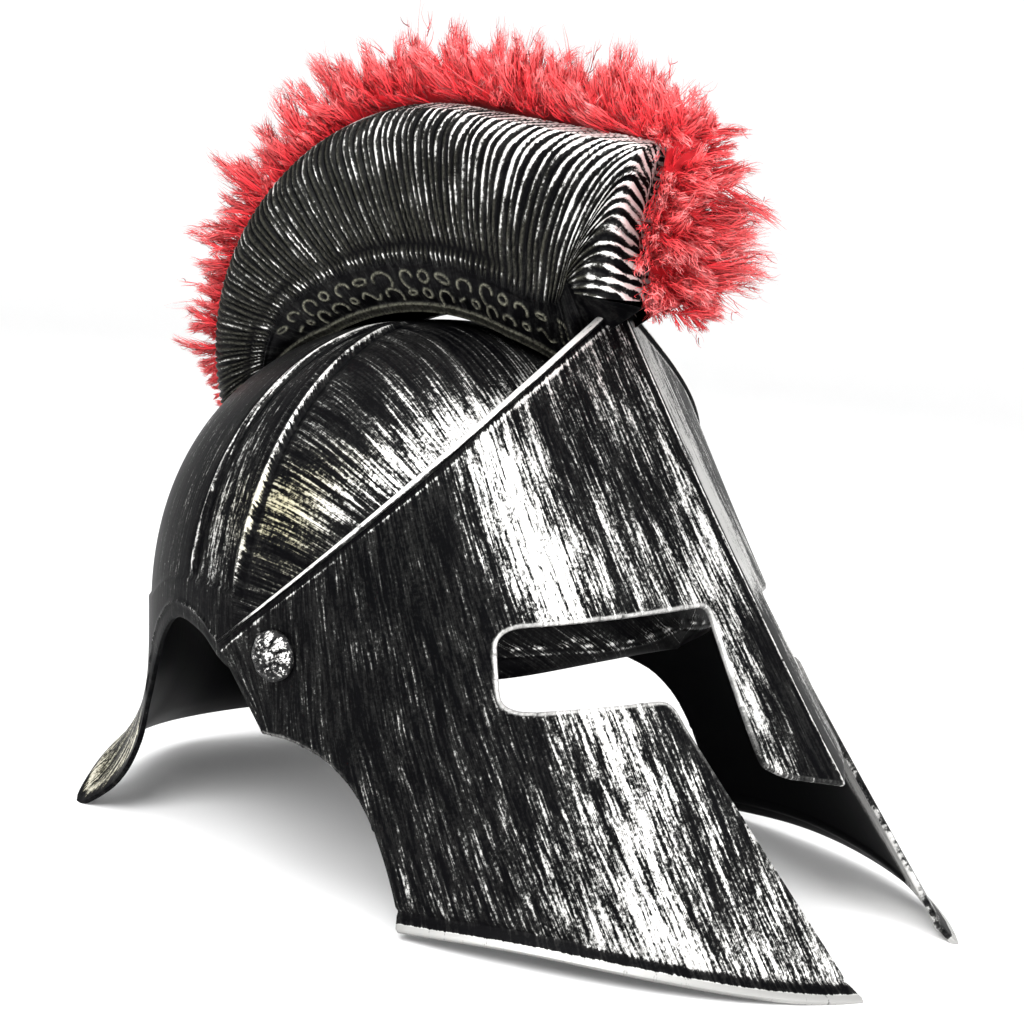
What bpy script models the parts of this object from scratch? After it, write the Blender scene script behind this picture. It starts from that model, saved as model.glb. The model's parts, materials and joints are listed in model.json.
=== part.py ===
"""Gladiator helmet: a hollow skull cap with a flared neck guard, a creased face visor that turns on
two rosette studs at the temples, a hollow ribbed crest and a red plume along the crest's edge.

Sizes are millimetres, and MM turns them into Blender's metres. The helmet has its own frame: the
origin is the middle of the stud axis, +X is the wearer's left, -Y the front and +Z up. The empty
helmet_rest leans that frame back and lifts it, so that the helmet stands by itself on z = 0.
"""
import math

import bmesh
import bpy
import numpy as np
from mathutils import Matrix

MM = 0.001
GAP = 0.3                  # clearance between pieces that touch
MERGE = 0.05               # points nearer than this are one
WELD = 0.01                # the same for a curve's caps
FINE_STEPS = 3001          # steps for reading a smooth curve back

# ---- how the helmet stands ------------------------------------------------------------------
LEAN_BACK = 6.54           # degrees that the helmet leans back onto its neck guard
STUD_HEIGHT = 76.73        # stud axis above the floor
STUD_BEHIND = 24.81        # stud axis behind the middle of the helmet's length
FLOOR_BLOCK = 600.0        # side of the block that trims what would reach into the floor

# ---- skull cap ------------------------------------------------------------------------------
CAP_WALL = 2.0
CAP_HALF_WIDTH = 96.6
CAP_HALF_LENGTH = 99.0
CAP_CENTRE_Y = 13.0
CAP_HEIGHT = 103.0
CAP_ROUNDNESS = 2.2        # exponent of the dome's profile: 2 is an ellipse, more is squarer
CAP_DOME_ROWS = 7
BAND_RISE = 0.8            # the border band stands this far off the dome
BAND_STEP = 1.2            # height of the step along the band's upper line
CAP_RIB_RISE = 1.3
CAP_RIB_HALF_WIDTH = 1.6   # degrees of plan angle
CAP_RIB_ANGLES = (93.0, 106.0)
CAP_RIB_CLEAR = 0.05       # table places kept free on both sides of a rib
CAP_RIB_FADE = 2           # dome rows over which a rib rises from the crown
LOWER_ROWS = (0.33, 0.6, 0.82, 1.0)
LOWER_BEND = (0.3, 0.72)   # the lower wall stays upright to about here, then flares
# The cap's lower edge. Plan angle 0 is the front, 180 the rear; band_z is the band's upper line.
CAP_EDGE = [
    # name,           angle, edge_x, edge_y, edge_z, band_z, columns to the next
    ("brow centre",     0.0,    0.0,  -86.0,   -3.0,    5.5, 3),
    ("brow side",      42.0,   64.6,  -60.6,   -6.0,    4.0, 3),
    ("temple",         80.0,   95.1,   -4.2,  -10.0,    8.0, 2),
    ("behind stud",    95.0,   96.2,   21.6,   -6.5,   18.0, 1),
    ("arch front",    104.0,   93.7,   37.0,    4.0,   20.5, 2),
    ("arch peak",     113.0,   88.9,   51.7,    7.2,   20.5, 2),
    ("arch rear",     121.0,   82.8,   64.0,    0.5,   17.5, 2),
    ("skirt top",     130.5,   73.5,   77.3,  -13.0,   10.5, 1),
    ("skirt",         135.0,   71.3,   83.0,  -26.0,    9.5, 1),
    ("skirt low",     138.0,   74.0,   86.0,  -42.0,    9.3, 1),
    ("wing front",    141.0,   77.5,   93.0,  -55.0,    9.2, 1),
    ("wing tip",      146.0,   78.5,  109.0,  -64.0,    9.0, 1),
    ("wing rear",     151.0,   70.5,  112.5,  -57.0,    9.0, 1),
    ("lip side",      158.0,   56.0,  116.5,  -50.0,    9.0, 1),
    ("lip",           168.0,   33.0,  127.5,  -48.5,    9.0, 2),
    ("lip centre",    180.0,    0.0,  136.0,  -49.0,    9.0, 0),
]

# ---- visor ----------------------------------------------------------------------------------
VISOR_WALL = 2.0
VISOR_HALF_WIDTH = 100.0
VISOR_NARROW = (0.054, -0.00086)   # half width above the studs: slope and curvature
VISOR_REACH = 104.5        # how far the face stands before the stud axis, at its height
VISOR_REACH_SLOPE = 0.58   # and how much further for each millimetre lower
VISOR_REACH_CURVE = 0.00036
VISOR_PROW = 17.4          # the crease stands this much further forward
VISOR_SQUARENESS = 2.2
CHEEK_SQUARENESS = 0.5     # added to the squareness at the cheeks' bottom
CHEEK_TOP = -20.0
CHEEK_BOTTOM = -85.0
CHEEK_LIMIT = 1.2          # the squareness stops growing this share of the way down
RIM_LEVEL = 66.3           # each side's top rim is in a plane: level - fall_y y - fall_x |x|
RIM_FALL_Y = 0.68
RIM_FALL_X = 0.48
RIM_PEAK = 105.0
RIM_BEAD = 1.3             # radius of the bead along the top rim
LIP_DEPTH = 5.0            # height and reach of the turned-out lip along the bottom edge
LIP_OUT = 2.0
LIP_ROWS = (0.0, 0.35, 0.7, 1.0)
BOTTOM_Y = (-165.0, -123.0, -88.0, -47.0, 30.0)
BOTTOM_Z = (-95.0, -85.5, -80.2, -78.7, -78.7)
SIDE_REAR_Y = (24.0, 6.0)  # the sides' rear edge, from the rim's end down to the notch
SIDE_REAR_Z = (2.0, -24.0)
VISOR_FACE_COLUMNS = 15
VISOR_SIDE_COLUMNS = 2
VISOR_ROWS = 11
EDGE_NEAR = 0.01           # radians between the two points that give the section's direction
EDGE_ROUNDS = 60           # rounds of stepping towards the bottom line and the rim
EDGE_STEP = 0.4            # share of the way to the rim that each round takes
RIM_GUESS = 60.0           # height from which that starts
# The cheek's rear edge, seen from the side, closed round the space behind it.
CHEEK_REAR = [
    # name,         y,     z
    ("corner",     6.5, -24.5),
    ("notch",     -6.0, -25.5),
    ("hollow 1", -20.0, -30.5),
    ("hollow 2", -30.0, -39.0),
    ("hollow 3", -37.0, -50.0),
    ("hollow 4", -42.0, -62.0),
    ("hollow 5", -45.5, -73.0),
    ("bottom",   -48.0, -84.0),
    ("below",    -48.0, -130.0),
    ("behind",    80.0, -130.0),
    ("rear",      80.0, -24.5),
]
CHEEK_CUT = (-150.0, 150.0)    # the cut runs between these in x
# The eye slot and the mouth gap on one side, seen from the front.
FACE_OPENING = [
    # name,              x,      z, corner radius
    ("nose tip",       0.0,  -40.0, 0.0),
    ("nose low side", 19.0,  -35.5, 0.0),
    ("nose corner",   24.8,  -31.5, 0.0),
    ("slot inner",    17.2,   15.5, 4.0),
    ("slot top",      78.5,   12.0, 6.0),
    ("slot bottom",   82.0,  -14.5, 5.0),
    ("cheek top",     44.0,  -12.0, 3.0),
    ("cheek front",   35.0,  -99.0, 0.0),
    ("gap bottom",    32.0, -130.0, 0.0),
]
FACE_CUT = (-250.0, -40.0)     # the cut runs between these in y
CORNER_STEPS = 4

# ---- studs ----------------------------------------------------------------------------------
STUD_SHANK_RADIUS = 3.0
STUD_HEAD_RADIUS = 8.0
STUD_HEAD_BASE = 100.8     # distance of the head's underside from the middle of the helmet
STUD_HEAD_RIM = 0.8        # upright rim under the head's dome
STUD_HEAD_HEIGHT = 4.6
STUD_HEAD_STEPS = 5
STUD_CLENCH_RADIUS = 5.0   # the clenched inner end
STUD_CLENCH_FACE = 93.2
STUD_CLENCH_END = 91.8
STUD_HOLE_MIDDLE = 97.0
STUD_HOLE_DEPTH = 24.0
STUD_SIDES = 16
PETALS = 8
PETAL_RING = 4.9           # radius of the ring of petals
PETAL_SIZE = (2.0, 1.5, 1.5)
PETAL_SINK = 0.2           # the petals' middles lie this far inside the dome
PETAL_SEGMENTS = 6
PETAL_RINGS = 3
BOSS_SIZE = (2.2, 2.2, 1.4)    # the knob in the middle of the petals

# ---- crest ----------------------------------------------------------------------------------
CREST_WALL = 2.0
CREST_RIBS = 42
CREST_FAN_RIBS = 7
CREST_RIB_RISE = 1.1
CREST_HALF_WIDTH = 25.0
CREST_REAR_HALF_WIDTH = 15.0
CREST_TAPER = 0.3          # share of the crest's length that narrows to the rear
RIM_ARC_CENTRE = (2.0, 17.0)
RIM_ARC_RADIUS = 89.0
RIM_START_Y = 79.0
RIM_END_Y = -56.5
TOP_ARC_CENTRE = (5.0, 79.0)
TOP_ARC_RADIUS = 93.0
TOP_ARC_START = -8.8       # degrees above the rearward level where the outer arc begins
TOP_ARC_END = 106.0
BAND_HEIGHT = 17.0
BAND_GROWTH = 0.25         # the band reaches its height over this share of the arch
BAND_START = 0.15          # and begins with this share of it
SEAT_INSET = 4.0           # the rim clears the dome this far inside the crest's side
FAN_PULL = 0.8             # share of the arch from which the band's top runs to the pivot
FAN_HUB = 0.35             # the fan's inner ends stand this share of the way to the front edge
CROWN_RIB_SPREAD = 0.4     # share of a rib's rise that goes sideways on the crown
# Front end of the crest, seen from the side.
FRONT_EDGE = [
    # name,        y,     z,   share of the fan
    ("top",      -83.0, 156.0, 0.0),
    ("upper",    -78.0, 140.0, 0.38),
    ("lower",    -74.5, 125.0, 0.68),
    ("bottom",   -76.0, 109.5, 1.0),
]
FRONT_FOOT = [
    # name,        y,     z,   share of the fan
    ("rim end",  -56.5,  87.5, 0.0),
    ("step",     -57.0,  98.5, 0.45),
    ("bottom",   -76.0, 108.5, 1.0),
]
FAN_PIVOT = (-54.0, 113.0)
# Half section of the crest: across runs 0 rim, 1 top of the scroll band, 2 shoulder.
CREST_SECTION = [
    # name,         across, width share, lift, rib share
    ("rim",          0.00,  0.95,  0.0, 0.0),
    ("band",         0.50,  1.00,  0.0, 0.0),
    ("band top",     1.00,  1.00,  0.0, 0.2),
    ("side",         1.40,  1.03,  0.0, 1.0),
    ("upper side",   1.80,  0.98,  0.0, 1.0),
    ("shoulder",     2.00,  0.80,  0.8, 1.0),
    ("crown",        2.00,  0.52,  3.0, 0.8),
    ("channel",      2.00,  0.36,  1.2, 0.0),
    ("middle",       2.00,  0.00,  0.8, 0.0),
]
INNER_EVERY = 7            # outer columns for each column of the smooth inner wall
FOOT_PLATE = (44.0, 3.0, 10.0)     # hidden plate that carries the crest's front on the dome
FOOT_PLATE_Y = -50.5
FOOT_PLATE_Z = 90.0

# ---- plume ----------------------------------------------------------------------------------
PLUME_LOCKS = 22
PLUME_STEPS = 3            # sections for each lock
LOCK_DEPTH = 0.3           # how far the fur sinks between two locks
LOCK_VARIETY = 0.1         # locks differ in length by this share
LOCK_RHYTHM = (2.4, 3.0)   # how fast that share swings along the plume and up its section
PLUME_SHARP = 60.0
# The plume along the crest, from its rear end to the foot of the crest's front.
PLUME_SIZE = [
    # name,      share, height, half width
    ("rear end",  0.00,   9.0,  7.0),
    ("rear",      0.10,  19.0, 11.0),
    ("back",      0.35,  22.0, 14.0),
    ("top",       0.60,  22.0, 17.0),
    ("brow",      0.78,  19.0, 20.0),
    ("corner",    0.84,  17.0, 21.0),
    ("front",     0.92,  27.0, 22.0),
    ("chin",      1.00,  19.0, 15.0),
]
# Half section of the plume: across is a share of the half width, up a share of the height.
PLUME_SECTION = [
    # name,    across,  up
    ("root",    0.25, 0.00),
    ("flank",   0.62, 0.16),
    ("side",    1.00, 0.45),
    ("upper",   0.80, 0.80),
    ("top",     0.30, 1.00),
]
PLUME_ROOT_LIFT = 2.0      # the roots sit this far above the crest's shoulder line
PLUME_END = (-78.5, 101.5) # the plume hangs down past the crest's front to here
PLUME_SPAN = (0.03, 0.99)
PLUME_EASE = 9.0           # the locks fan smoothly round corners over this length


def clear_scene():
    """Start from an empty scene."""
    for thing in list(bpy.data.objects):
        bpy.data.objects.remove(thing, do_unlink=True)


def new_collection(name):
    collection = bpy.data.collections.new(name)
    bpy.context.scene.collection.children.link(collection)
    return collection


def plastic(name, colour, roughness, metallic):
    """A plain Principled material."""
    material = bpy.data.materials.new(name)
    material.use_nodes = True
    shader = material.node_tree.nodes["Principled BSDF"]
    shader.inputs["Base Color"].default_value = (*colour, 1.0)
    shader.inputs["Roughness"].default_value = roughness
    shader.inputs["Metallic"].default_value = metallic
    return material


def add_piece(name, verts, faces, collection, parent):
    """A mesh object from points in millimetres in the helmet's frame."""
    mesh = bpy.data.meshes.new(name)
    mesh.from_pydata([tuple(float(c) * MM for c in v) for v in verts], [], faces)
    work = bmesh.new()
    work.from_mesh(mesh)
    bmesh.ops.triangulate(work, faces=[face for face in work.faces if len(face.verts) > 4])
    bmesh.ops.recalc_face_normals(work, faces=work.faces)
    work.to_mesh(mesh)
    work.free()
    piece = bpy.data.objects.new(name, mesh)
    collection.objects.link(piece)
    piece.parent = parent
    return piece


def finish(piece, material, sharp=35.0):
    """Give a piece its material and smooth shading with sharp edges kept."""
    piece.data.materials.clear()
    piece.data.materials.append(material)
    piece.data.shade_smooth()
    piece.data.set_sharp_from_angle(angle=math.radians(sharp))


def move_to(piece, collection):
    for owner in list(piece.users_collection):
        owner.objects.unlink(piece)
    collection.objects.link(piece)


def as_cutter(piece):
    piece.hide_render = True
    piece.display_type = "WIRE"
    return piece


def grid_faces(rows, columns, start=0):
    """Quads of a grid of points that are stored row after row."""
    return [(start + r * columns + c, start + r * columns + c + 1,
             start + (r + 1) * columns + c + 1, start + (r + 1) * columns + c)
            for r in range(rows - 1) for c in range(columns - 1)]


def mirror_x(piece):
    mirror = piece.modifiers.new("both sides", "MIRROR")
    mirror.use_axis = (True, False, False)
    mirror.merge_threshold = MERGE * MM


def thicken(piece, wall):
    """Grow the wall inwards from the outer face."""
    shell = piece.modifiers.new("wall", "SOLIDIFY")
    shell.thickness = wall * MM
    shell.offset = -1.0
    shell.use_even_offset = True


def combine(piece, other, operation):
    boolean = piece.modifiers.new(operation.lower() + " " + other.name, "BOOLEAN")
    boolean.operation = operation
    boolean.solver = "EXACT"
    boolean.object = other


def column_of(table, place):
    """One column of a named table, as an array."""
    return np.array([row[place] for row in table], float)


def smooth_curve(knots, values, at):
    """Cubic curve through the knots, read at the places at."""
    knots = np.asarray(knots, float)
    values = np.asarray(values, float)
    slope = np.gradient(values, knots)
    i = np.clip(np.searchsorted(knots, at, side="right") - 1, 0, len(knots) - 2)
    step = knots[i + 1] - knots[i]
    t = (at - knots[i]) / step
    return ((2 * t**3 - 3 * t**2 + 1) * values[i] + (t**3 - 2 * t**2 + t) * step * slope[i]
            + (3 * t**2 - 2 * t**3) * values[i + 1] + (t**3 - t**2) * step * slope[i + 1])


def floor_block(cutters):
    """A block with its top face in the floor."""
    bpy.ops.mesh.primitive_cube_add(size=FLOOR_BLOCK * MM, location=(0, 0, -FLOOR_BLOCK / 2 * MM))
    block = bpy.context.active_object
    block.name = "floor_block"
    move_to(block, cutters)
    return as_cutter(block)


# ---- skull cap ------------------------------------------------------------------------------
def dome_height(x, y):
    """Height of the dome's outer face over the plan point (x, y)."""
    share = np.hypot(x / CAP_HALF_WIDTH, (y - CAP_CENTRE_Y) / CAP_HALF_LENGTH)
    return CAP_HEIGHT * (1 - np.clip(share, 0, 1) ** CAP_ROUNDNESS) ** (1 / CAP_ROUNDNESS)


def cap_wall(turn, z, proud=0.0):
    """Point of the cap's outer face at a plan angle and a height, standing proud of it."""
    up = np.clip(z / CAP_HEIGHT, 0.0, 1.0)
    share = (1 - up ** CAP_ROUNDNESS) ** (1 / CAP_ROUNDNESS)
    x = (CAP_HALF_WIDTH * share + proud) * np.sin(turn)
    y = CAP_CENTRE_Y - (CAP_HALF_LENGTH * share + proud) * np.cos(turn)
    return np.stack([x, y, np.broadcast_to(z, x.shape)], -1)


def cap_columns():
    """Places along the edge table, with three columns for each raised rib."""
    places = []
    for i, row in enumerate(CAP_EDGE):
        places.extend(i + k / max(row[-1], 1) for k in range(max(row[-1], 1)))
    places = np.array(places)
    fine = np.linspace(0, len(CAP_EDGE) - 1, FINE_STEPS)
    fine_angle = smooth_curve(np.arange(len(CAP_EDGE)), column_of(CAP_EDGE, 1), fine)
    for rib in CAP_RIB_ANGLES:
        flanks = np.interp(rib + CAP_RIB_HALF_WIDTH * np.array([-1.0, 0.0, 1.0]), fine_angle, fine)
        places = places[(places < flanks[0] - CAP_RIB_CLEAR) | (places > flanks[2] + CAP_RIB_CLEAR)]
        places = np.concatenate([places, flanks])
    return np.sort(places)


def cap_grid():
    """Rows from the crown to the lower edge, columns from the brow round to the neck, x >= 0."""
    knots = np.arange(len(CAP_EDGE))
    places = cap_columns()
    angle, edge_x, edge_y, edge_z, band_z = (
        smooth_curve(knots, column_of(CAP_EDGE, c), places) for c in range(1, 6))
    turn = np.radians(angle)
    rib = sum(np.clip(1 - np.abs(angle - a) / CAP_RIB_HALF_WIDTH, 0, 1) for a in CAP_RIB_ANGLES)
    # Dome rows run by equal turns of the profile from the crown to the band's upper line.
    low_turn = np.arccos((band_z / CAP_HEIGHT) ** (CAP_ROUNDNESS / 2))
    rows = []
    for k in range(1, CAP_DOME_ROWS + 1):
        z = CAP_HEIGHT * np.cos(low_turn * k / CAP_DOME_ROWS) ** (2 / CAP_ROUNDNESS)
        rows.append(cap_wall(turn, z, CAP_RIB_RISE * rib * min(1.0, (k - 1) / CAP_RIB_FADE)))
    # The band stands proud, runs down the wall and bends out to the edge.
    drop = edge_z - band_z
    ends = [cap_wall(turn, band_z - BAND_STEP, BAND_RISE)]
    ends += [cap_wall(turn, band_z + share * drop, BAND_RISE) for share in LOWER_BEND]
    ends += [np.stack([edge_x, edge_y, edge_z], -1)]
    for t in (0.0, *LOWER_ROWS):
        rows.append((1 - t)**3 * ends[0] + 3 * t * (1 - t)**2 * ends[1]
                    + 3 * t**2 * (1 - t) * ends[2] + t**3 * ends[3])
    grid = np.array(rows)
    grid[:, [0, -1], 0] = 0.0
    return grid


def make_skull_cap(parts, floor, parent):
    """A loft of upright sections round the crown, mirrored and given its wall."""
    grid = cap_grid()
    rows, columns = grid.shape[:2]
    verts = [(0.0, CAP_CENTRE_Y, CAP_HEIGHT), *grid.reshape(-1, 3)]
    faces = [(0, c + 1, c + 2) for c in range(columns - 1)]
    faces += [face[::-1] for face in grid_faces(rows, columns, 1)]
    cap = add_piece("skull_cap", verts, faces, parts, parent)
    mirror_x(cap)
    thicken(cap, CAP_WALL)
    combine(cap, floor, "DIFFERENCE")
    return cap


# ---- visor ----------------------------------------------------------------------------------
def visor_point(turn, back, z):
    """Face section: a squarish half ellipse with a prow, then a straight side running back."""
    up = np.maximum(z, 0.0)
    half = VISOR_HALF_WIDTH + VISOR_NARROW[0] * up + VISOR_NARROW[1] * up**2
    reach = VISOR_REACH - VISOR_REACH_SLOPE * z + VISOR_REACH_CURVE * z**2
    low = np.clip((CHEEK_TOP - z) / (CHEEK_TOP - CHEEK_BOTTOM), 0.0, CHEEK_LIMIT)
    power = 2 / (VISOR_SQUARENESS + CHEEK_SQUARENESS * low)
    x = half * np.sin(turn) ** power
    y = -reach * np.cos(turn) ** power - VISOR_PROW * (1 - x / half) ** 2
    rear = np.interp(z, SIDE_REAR_Z[::-1], SIDE_REAR_Y[::-1])
    return np.stack([x, y + back * rear, np.broadcast_to(z, x.shape)], -1)


def visor_outward(turn, back, z):
    """Level unit vector square to the section."""
    ahead = visor_point(np.minimum(turn + EDGE_NEAR, math.pi / 2), back + EDGE_NEAR, z)
    behind = visor_point(np.maximum(turn - EDGE_NEAR, 0.0), back - EDGE_NEAR, z)
    along = (ahead - behind)[:, :2]
    along /= np.linalg.norm(along, axis=1, keepdims=True)
    return np.stack([along[:, 1], -along[:, 0], np.zeros(len(along))], -1)


def visor_grid():
    """Rows from the bottom edge up to the rim, columns from the crease to the rear, x >= 0."""
    turn = np.radians(np.append(np.linspace(0, 90, VISOR_FACE_COLUMNS),
                                np.full(VISOR_SIDE_COLUMNS, 90.0)))
    back = np.append(np.zeros(VISOR_FACE_COLUMNS),
                     np.arange(1, VISOR_SIDE_COLUMNS + 1) / VISOR_SIDE_COLUMNS)
    bottom = np.full(turn.shape, CHEEK_BOTTOM)
    top = np.full(turn.shape, RIM_GUESS)
    # The edges are where the section meets the bottom line and the rim's plane.
    for _ in range(EDGE_ROUNDS):
        low = visor_point(turn, back, bottom)
        bottom = (bottom + smooth_curve(BOTTOM_Y, BOTTOM_Z, low[:, 1])) / 2
        high = visor_point(turn, back, top)
        rim = RIM_LEVEL - RIM_FALL_Y * high[:, 1] - RIM_FALL_X * high[:, 0]
        top += EDGE_STEP * (np.minimum(rim, RIM_PEAK) - top)
    rows = []
    for share in LIP_ROWS:
        z = bottom + share * LIP_DEPTH
        rows.append(visor_point(turn, back, z)
                    + LIP_OUT * (1 - share)**2 * visor_outward(turn, back, z))
    for share in np.linspace(0, 1, VISOR_ROWS)[1:]:
        rows.append(visor_point(turn, back, bottom + LIP_DEPTH
                                + share * (top - bottom - LIP_DEPTH)))
    grid = np.array(rows)
    grid[:, 0, 0] = 0.0
    return grid


def rounded(table):
    """The outline of a table with name, u, v and corner radius, each corner as a short arc."""
    points = np.array([row[1:3] for row in table])
    outline = []
    for i, row in enumerate(table):
        here = points[i]
        if not row[3]:
            outline.append(here)
            continue
        before = points[i - 1] - here
        after = points[i + 1] - here
        start = here + before / np.linalg.norm(before) * row[3]
        end = here + after / np.linalg.norm(after) * row[3]
        outline += [(1 - t)**2 * start + 2 * t * (1 - t) * here + t**2 * end
                    for t in np.linspace(0, 1, CORNER_STEPS + 1)]
    return np.array(outline)


def prism(name, outline, axis, span, cutters, parent):
    """A straight cutter: an outline carried along an axis over the span."""
    other = [a for a in range(3) if a != axis]
    count = len(outline)
    rings = np.zeros((2, count, 3))
    rings[:, :, other[0]] = outline[:, 0]
    rings[:, :, other[1]] = outline[:, 1]
    rings[:, :, axis] = np.array(span)[:, None]
    faces = [tuple(range(count)), tuple(range(2 * count - 1, count - 1, -1))]
    faces += [(i, (i + 1) % count, count + (i + 1) % count, count + i) for i in range(count)]
    return as_cutter(add_piece(name, rings.reshape(-1, 3), faces, cutters, parent))


def rim_bead(line, cutters, parent):
    """Round bead along the visor's top rim: a curve with a round section, made a mesh."""
    path = np.concatenate([line[:0:-1] * np.array([-1.0, 1.0, 1.0]), line])
    curve = bpy.data.curves.new("rim_bead", "CURVE")
    curve.dimensions = "3D"
    curve.bevel_depth = RIM_BEAD * MM
    curve.bevel_resolution = 1
    curve.use_fill_caps = True
    spline = curve.splines.new("POLY")
    spline.points.add(len(path) - 1)
    for point, place in zip(spline.points, path):
        point.co = (*(place * MM), 1.0)
    holder = bpy.data.objects.new("rim_bead_curve", curve)
    cutters.objects.link(holder)
    mesh = bpy.data.meshes.new_from_object(
        holder.evaluated_get(bpy.context.evaluated_depsgraph_get()))
    bpy.data.objects.remove(holder)
    work = bmesh.new()
    work.from_mesh(mesh)
    bmesh.ops.remove_doubles(work, verts=work.verts, dist=WELD * MM)
    bmesh.ops.recalc_face_normals(work, faces=work.faces)
    work.to_mesh(mesh)
    work.free()
    bead = bpy.data.objects.new("rim_bead", mesh)
    cutters.objects.link(bead)
    bead.parent = parent
    return as_cutter(bead)


def make_visor(parts, cutters, floor, parent):
    """The face plate: a creased sheet with its openings cut and its rim beaded."""
    grid = visor_grid()
    rows, columns = grid.shape[:2]
    visor = add_piece("visor", grid.reshape(-1, 3), grid_faces(rows, columns), parts, parent)
    mirror_x(visor)
    thicken(visor, VISOR_WALL)
    half = rounded(FACE_OPENING)
    opening = np.concatenate([half, half[:0:-1] * np.array([-1.0, 1.0])])
    combine(visor, prism("face_opening", opening, 1, FACE_CUT, cutters, parent), "DIFFERENCE")
    behind = np.array([row[1:] for row in CHEEK_REAR])
    combine(visor, prism("cheek_rear", behind, 0, CHEEK_CUT, cutters, parent), "DIFFERENCE")
    combine(visor, floor, "DIFFERENCE")
    combine(visor, rim_bead(grid[-1], cutters, parent), "UNION")
    return visor


# ---- studs ----------------------------------------------------------------------------------
def stud_hole(name, side, cutters, parent):
    """A straight hole on the stud axis, wider than the shank by the gap."""
    bpy.ops.mesh.primitive_cylinder_add(
        vertices=STUD_SIDES, radius=(STUD_SHANK_RADIUS + GAP) * MM,
        depth=STUD_HOLE_DEPTH * MM)
    hole = bpy.context.active_object
    hole.name = name
    hole.data.transform(Matrix.Rotation(math.pi / 2, 4, "Y"))
    hole.location = (side * STUD_HOLE_MIDDLE * MM, 0, 0)
    hole.parent = parent
    move_to(hole, cutters)
    return as_cutter(hole)


def make_stud(name, side, parts, cutters, parent):
    """A turned rivet: domed rosette head, shank through both walls, clenched inner end."""
    brim = STUD_HEAD_BASE + STUD_HEAD_RIM
    dome = [(STUD_HEAD_RADIUS * math.sin(a), brim + STUD_HEAD_HEIGHT * math.cos(a))
            for a in np.radians(np.linspace(0, 90, STUD_HEAD_STEPS))]
    profile = dome + [
        (STUD_HEAD_RADIUS, STUD_HEAD_BASE),
        (STUD_SHANK_RADIUS, STUD_HEAD_BASE),
        (STUD_SHANK_RADIUS, STUD_CLENCH_FACE),
        (STUD_CLENCH_RADIUS, STUD_CLENCH_FACE),
        (STUD_CLENCH_RADIUS, STUD_CLENCH_END),
        (0.0, STUD_CLENCH_END),
    ]
    mesh = bpy.data.meshes.new(name)
    mesh.from_pydata([(r * MM, 0.0, z * MM) for r, z in profile],
                     [(i, i + 1) for i in range(len(profile) - 1)], [])
    stud = bpy.data.objects.new(name, mesh)
    parts.objects.link(stud)
    screw = stud.modifiers.new("turn", "SCREW")
    screw.steps = STUD_SIDES
    screw.render_steps = STUD_SIDES
    screw.use_merge_vertices = True
    screw.merge_threshold = MERGE * MM
    for k in range(PETALS + 1):
        around = 2 * math.pi * k / PETALS
        ring = PETAL_RING if k < PETALS else 0.0
        high = brim + STUD_HEAD_HEIGHT * math.sqrt(1 - (ring / STUD_HEAD_RADIUS)**2)
        bpy.ops.mesh.primitive_uv_sphere_add(segments=PETAL_SEGMENTS, ring_count=PETAL_RINGS,
                                             radius=MM)
        petal = bpy.context.active_object
        petal.name = f"{name}_petal_{k}"
        size = PETAL_SIZE if k < PETALS else BOSS_SIZE
        petal.data.transform(Matrix.Rotation(around, 4, "Z")
                             @ Matrix.Translation((ring * MM, 0, (high - PETAL_SINK) * MM))
                             @ Matrix.Diagonal((*size, 1.0)))
        petal.parent = stud
        move_to(petal, cutters)
        combine(stud, as_cutter(petal), "UNION")
    stud.rotation_euler = (0, side * math.pi / 2, 0)
    stud.parent = parent
    return stud


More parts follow.
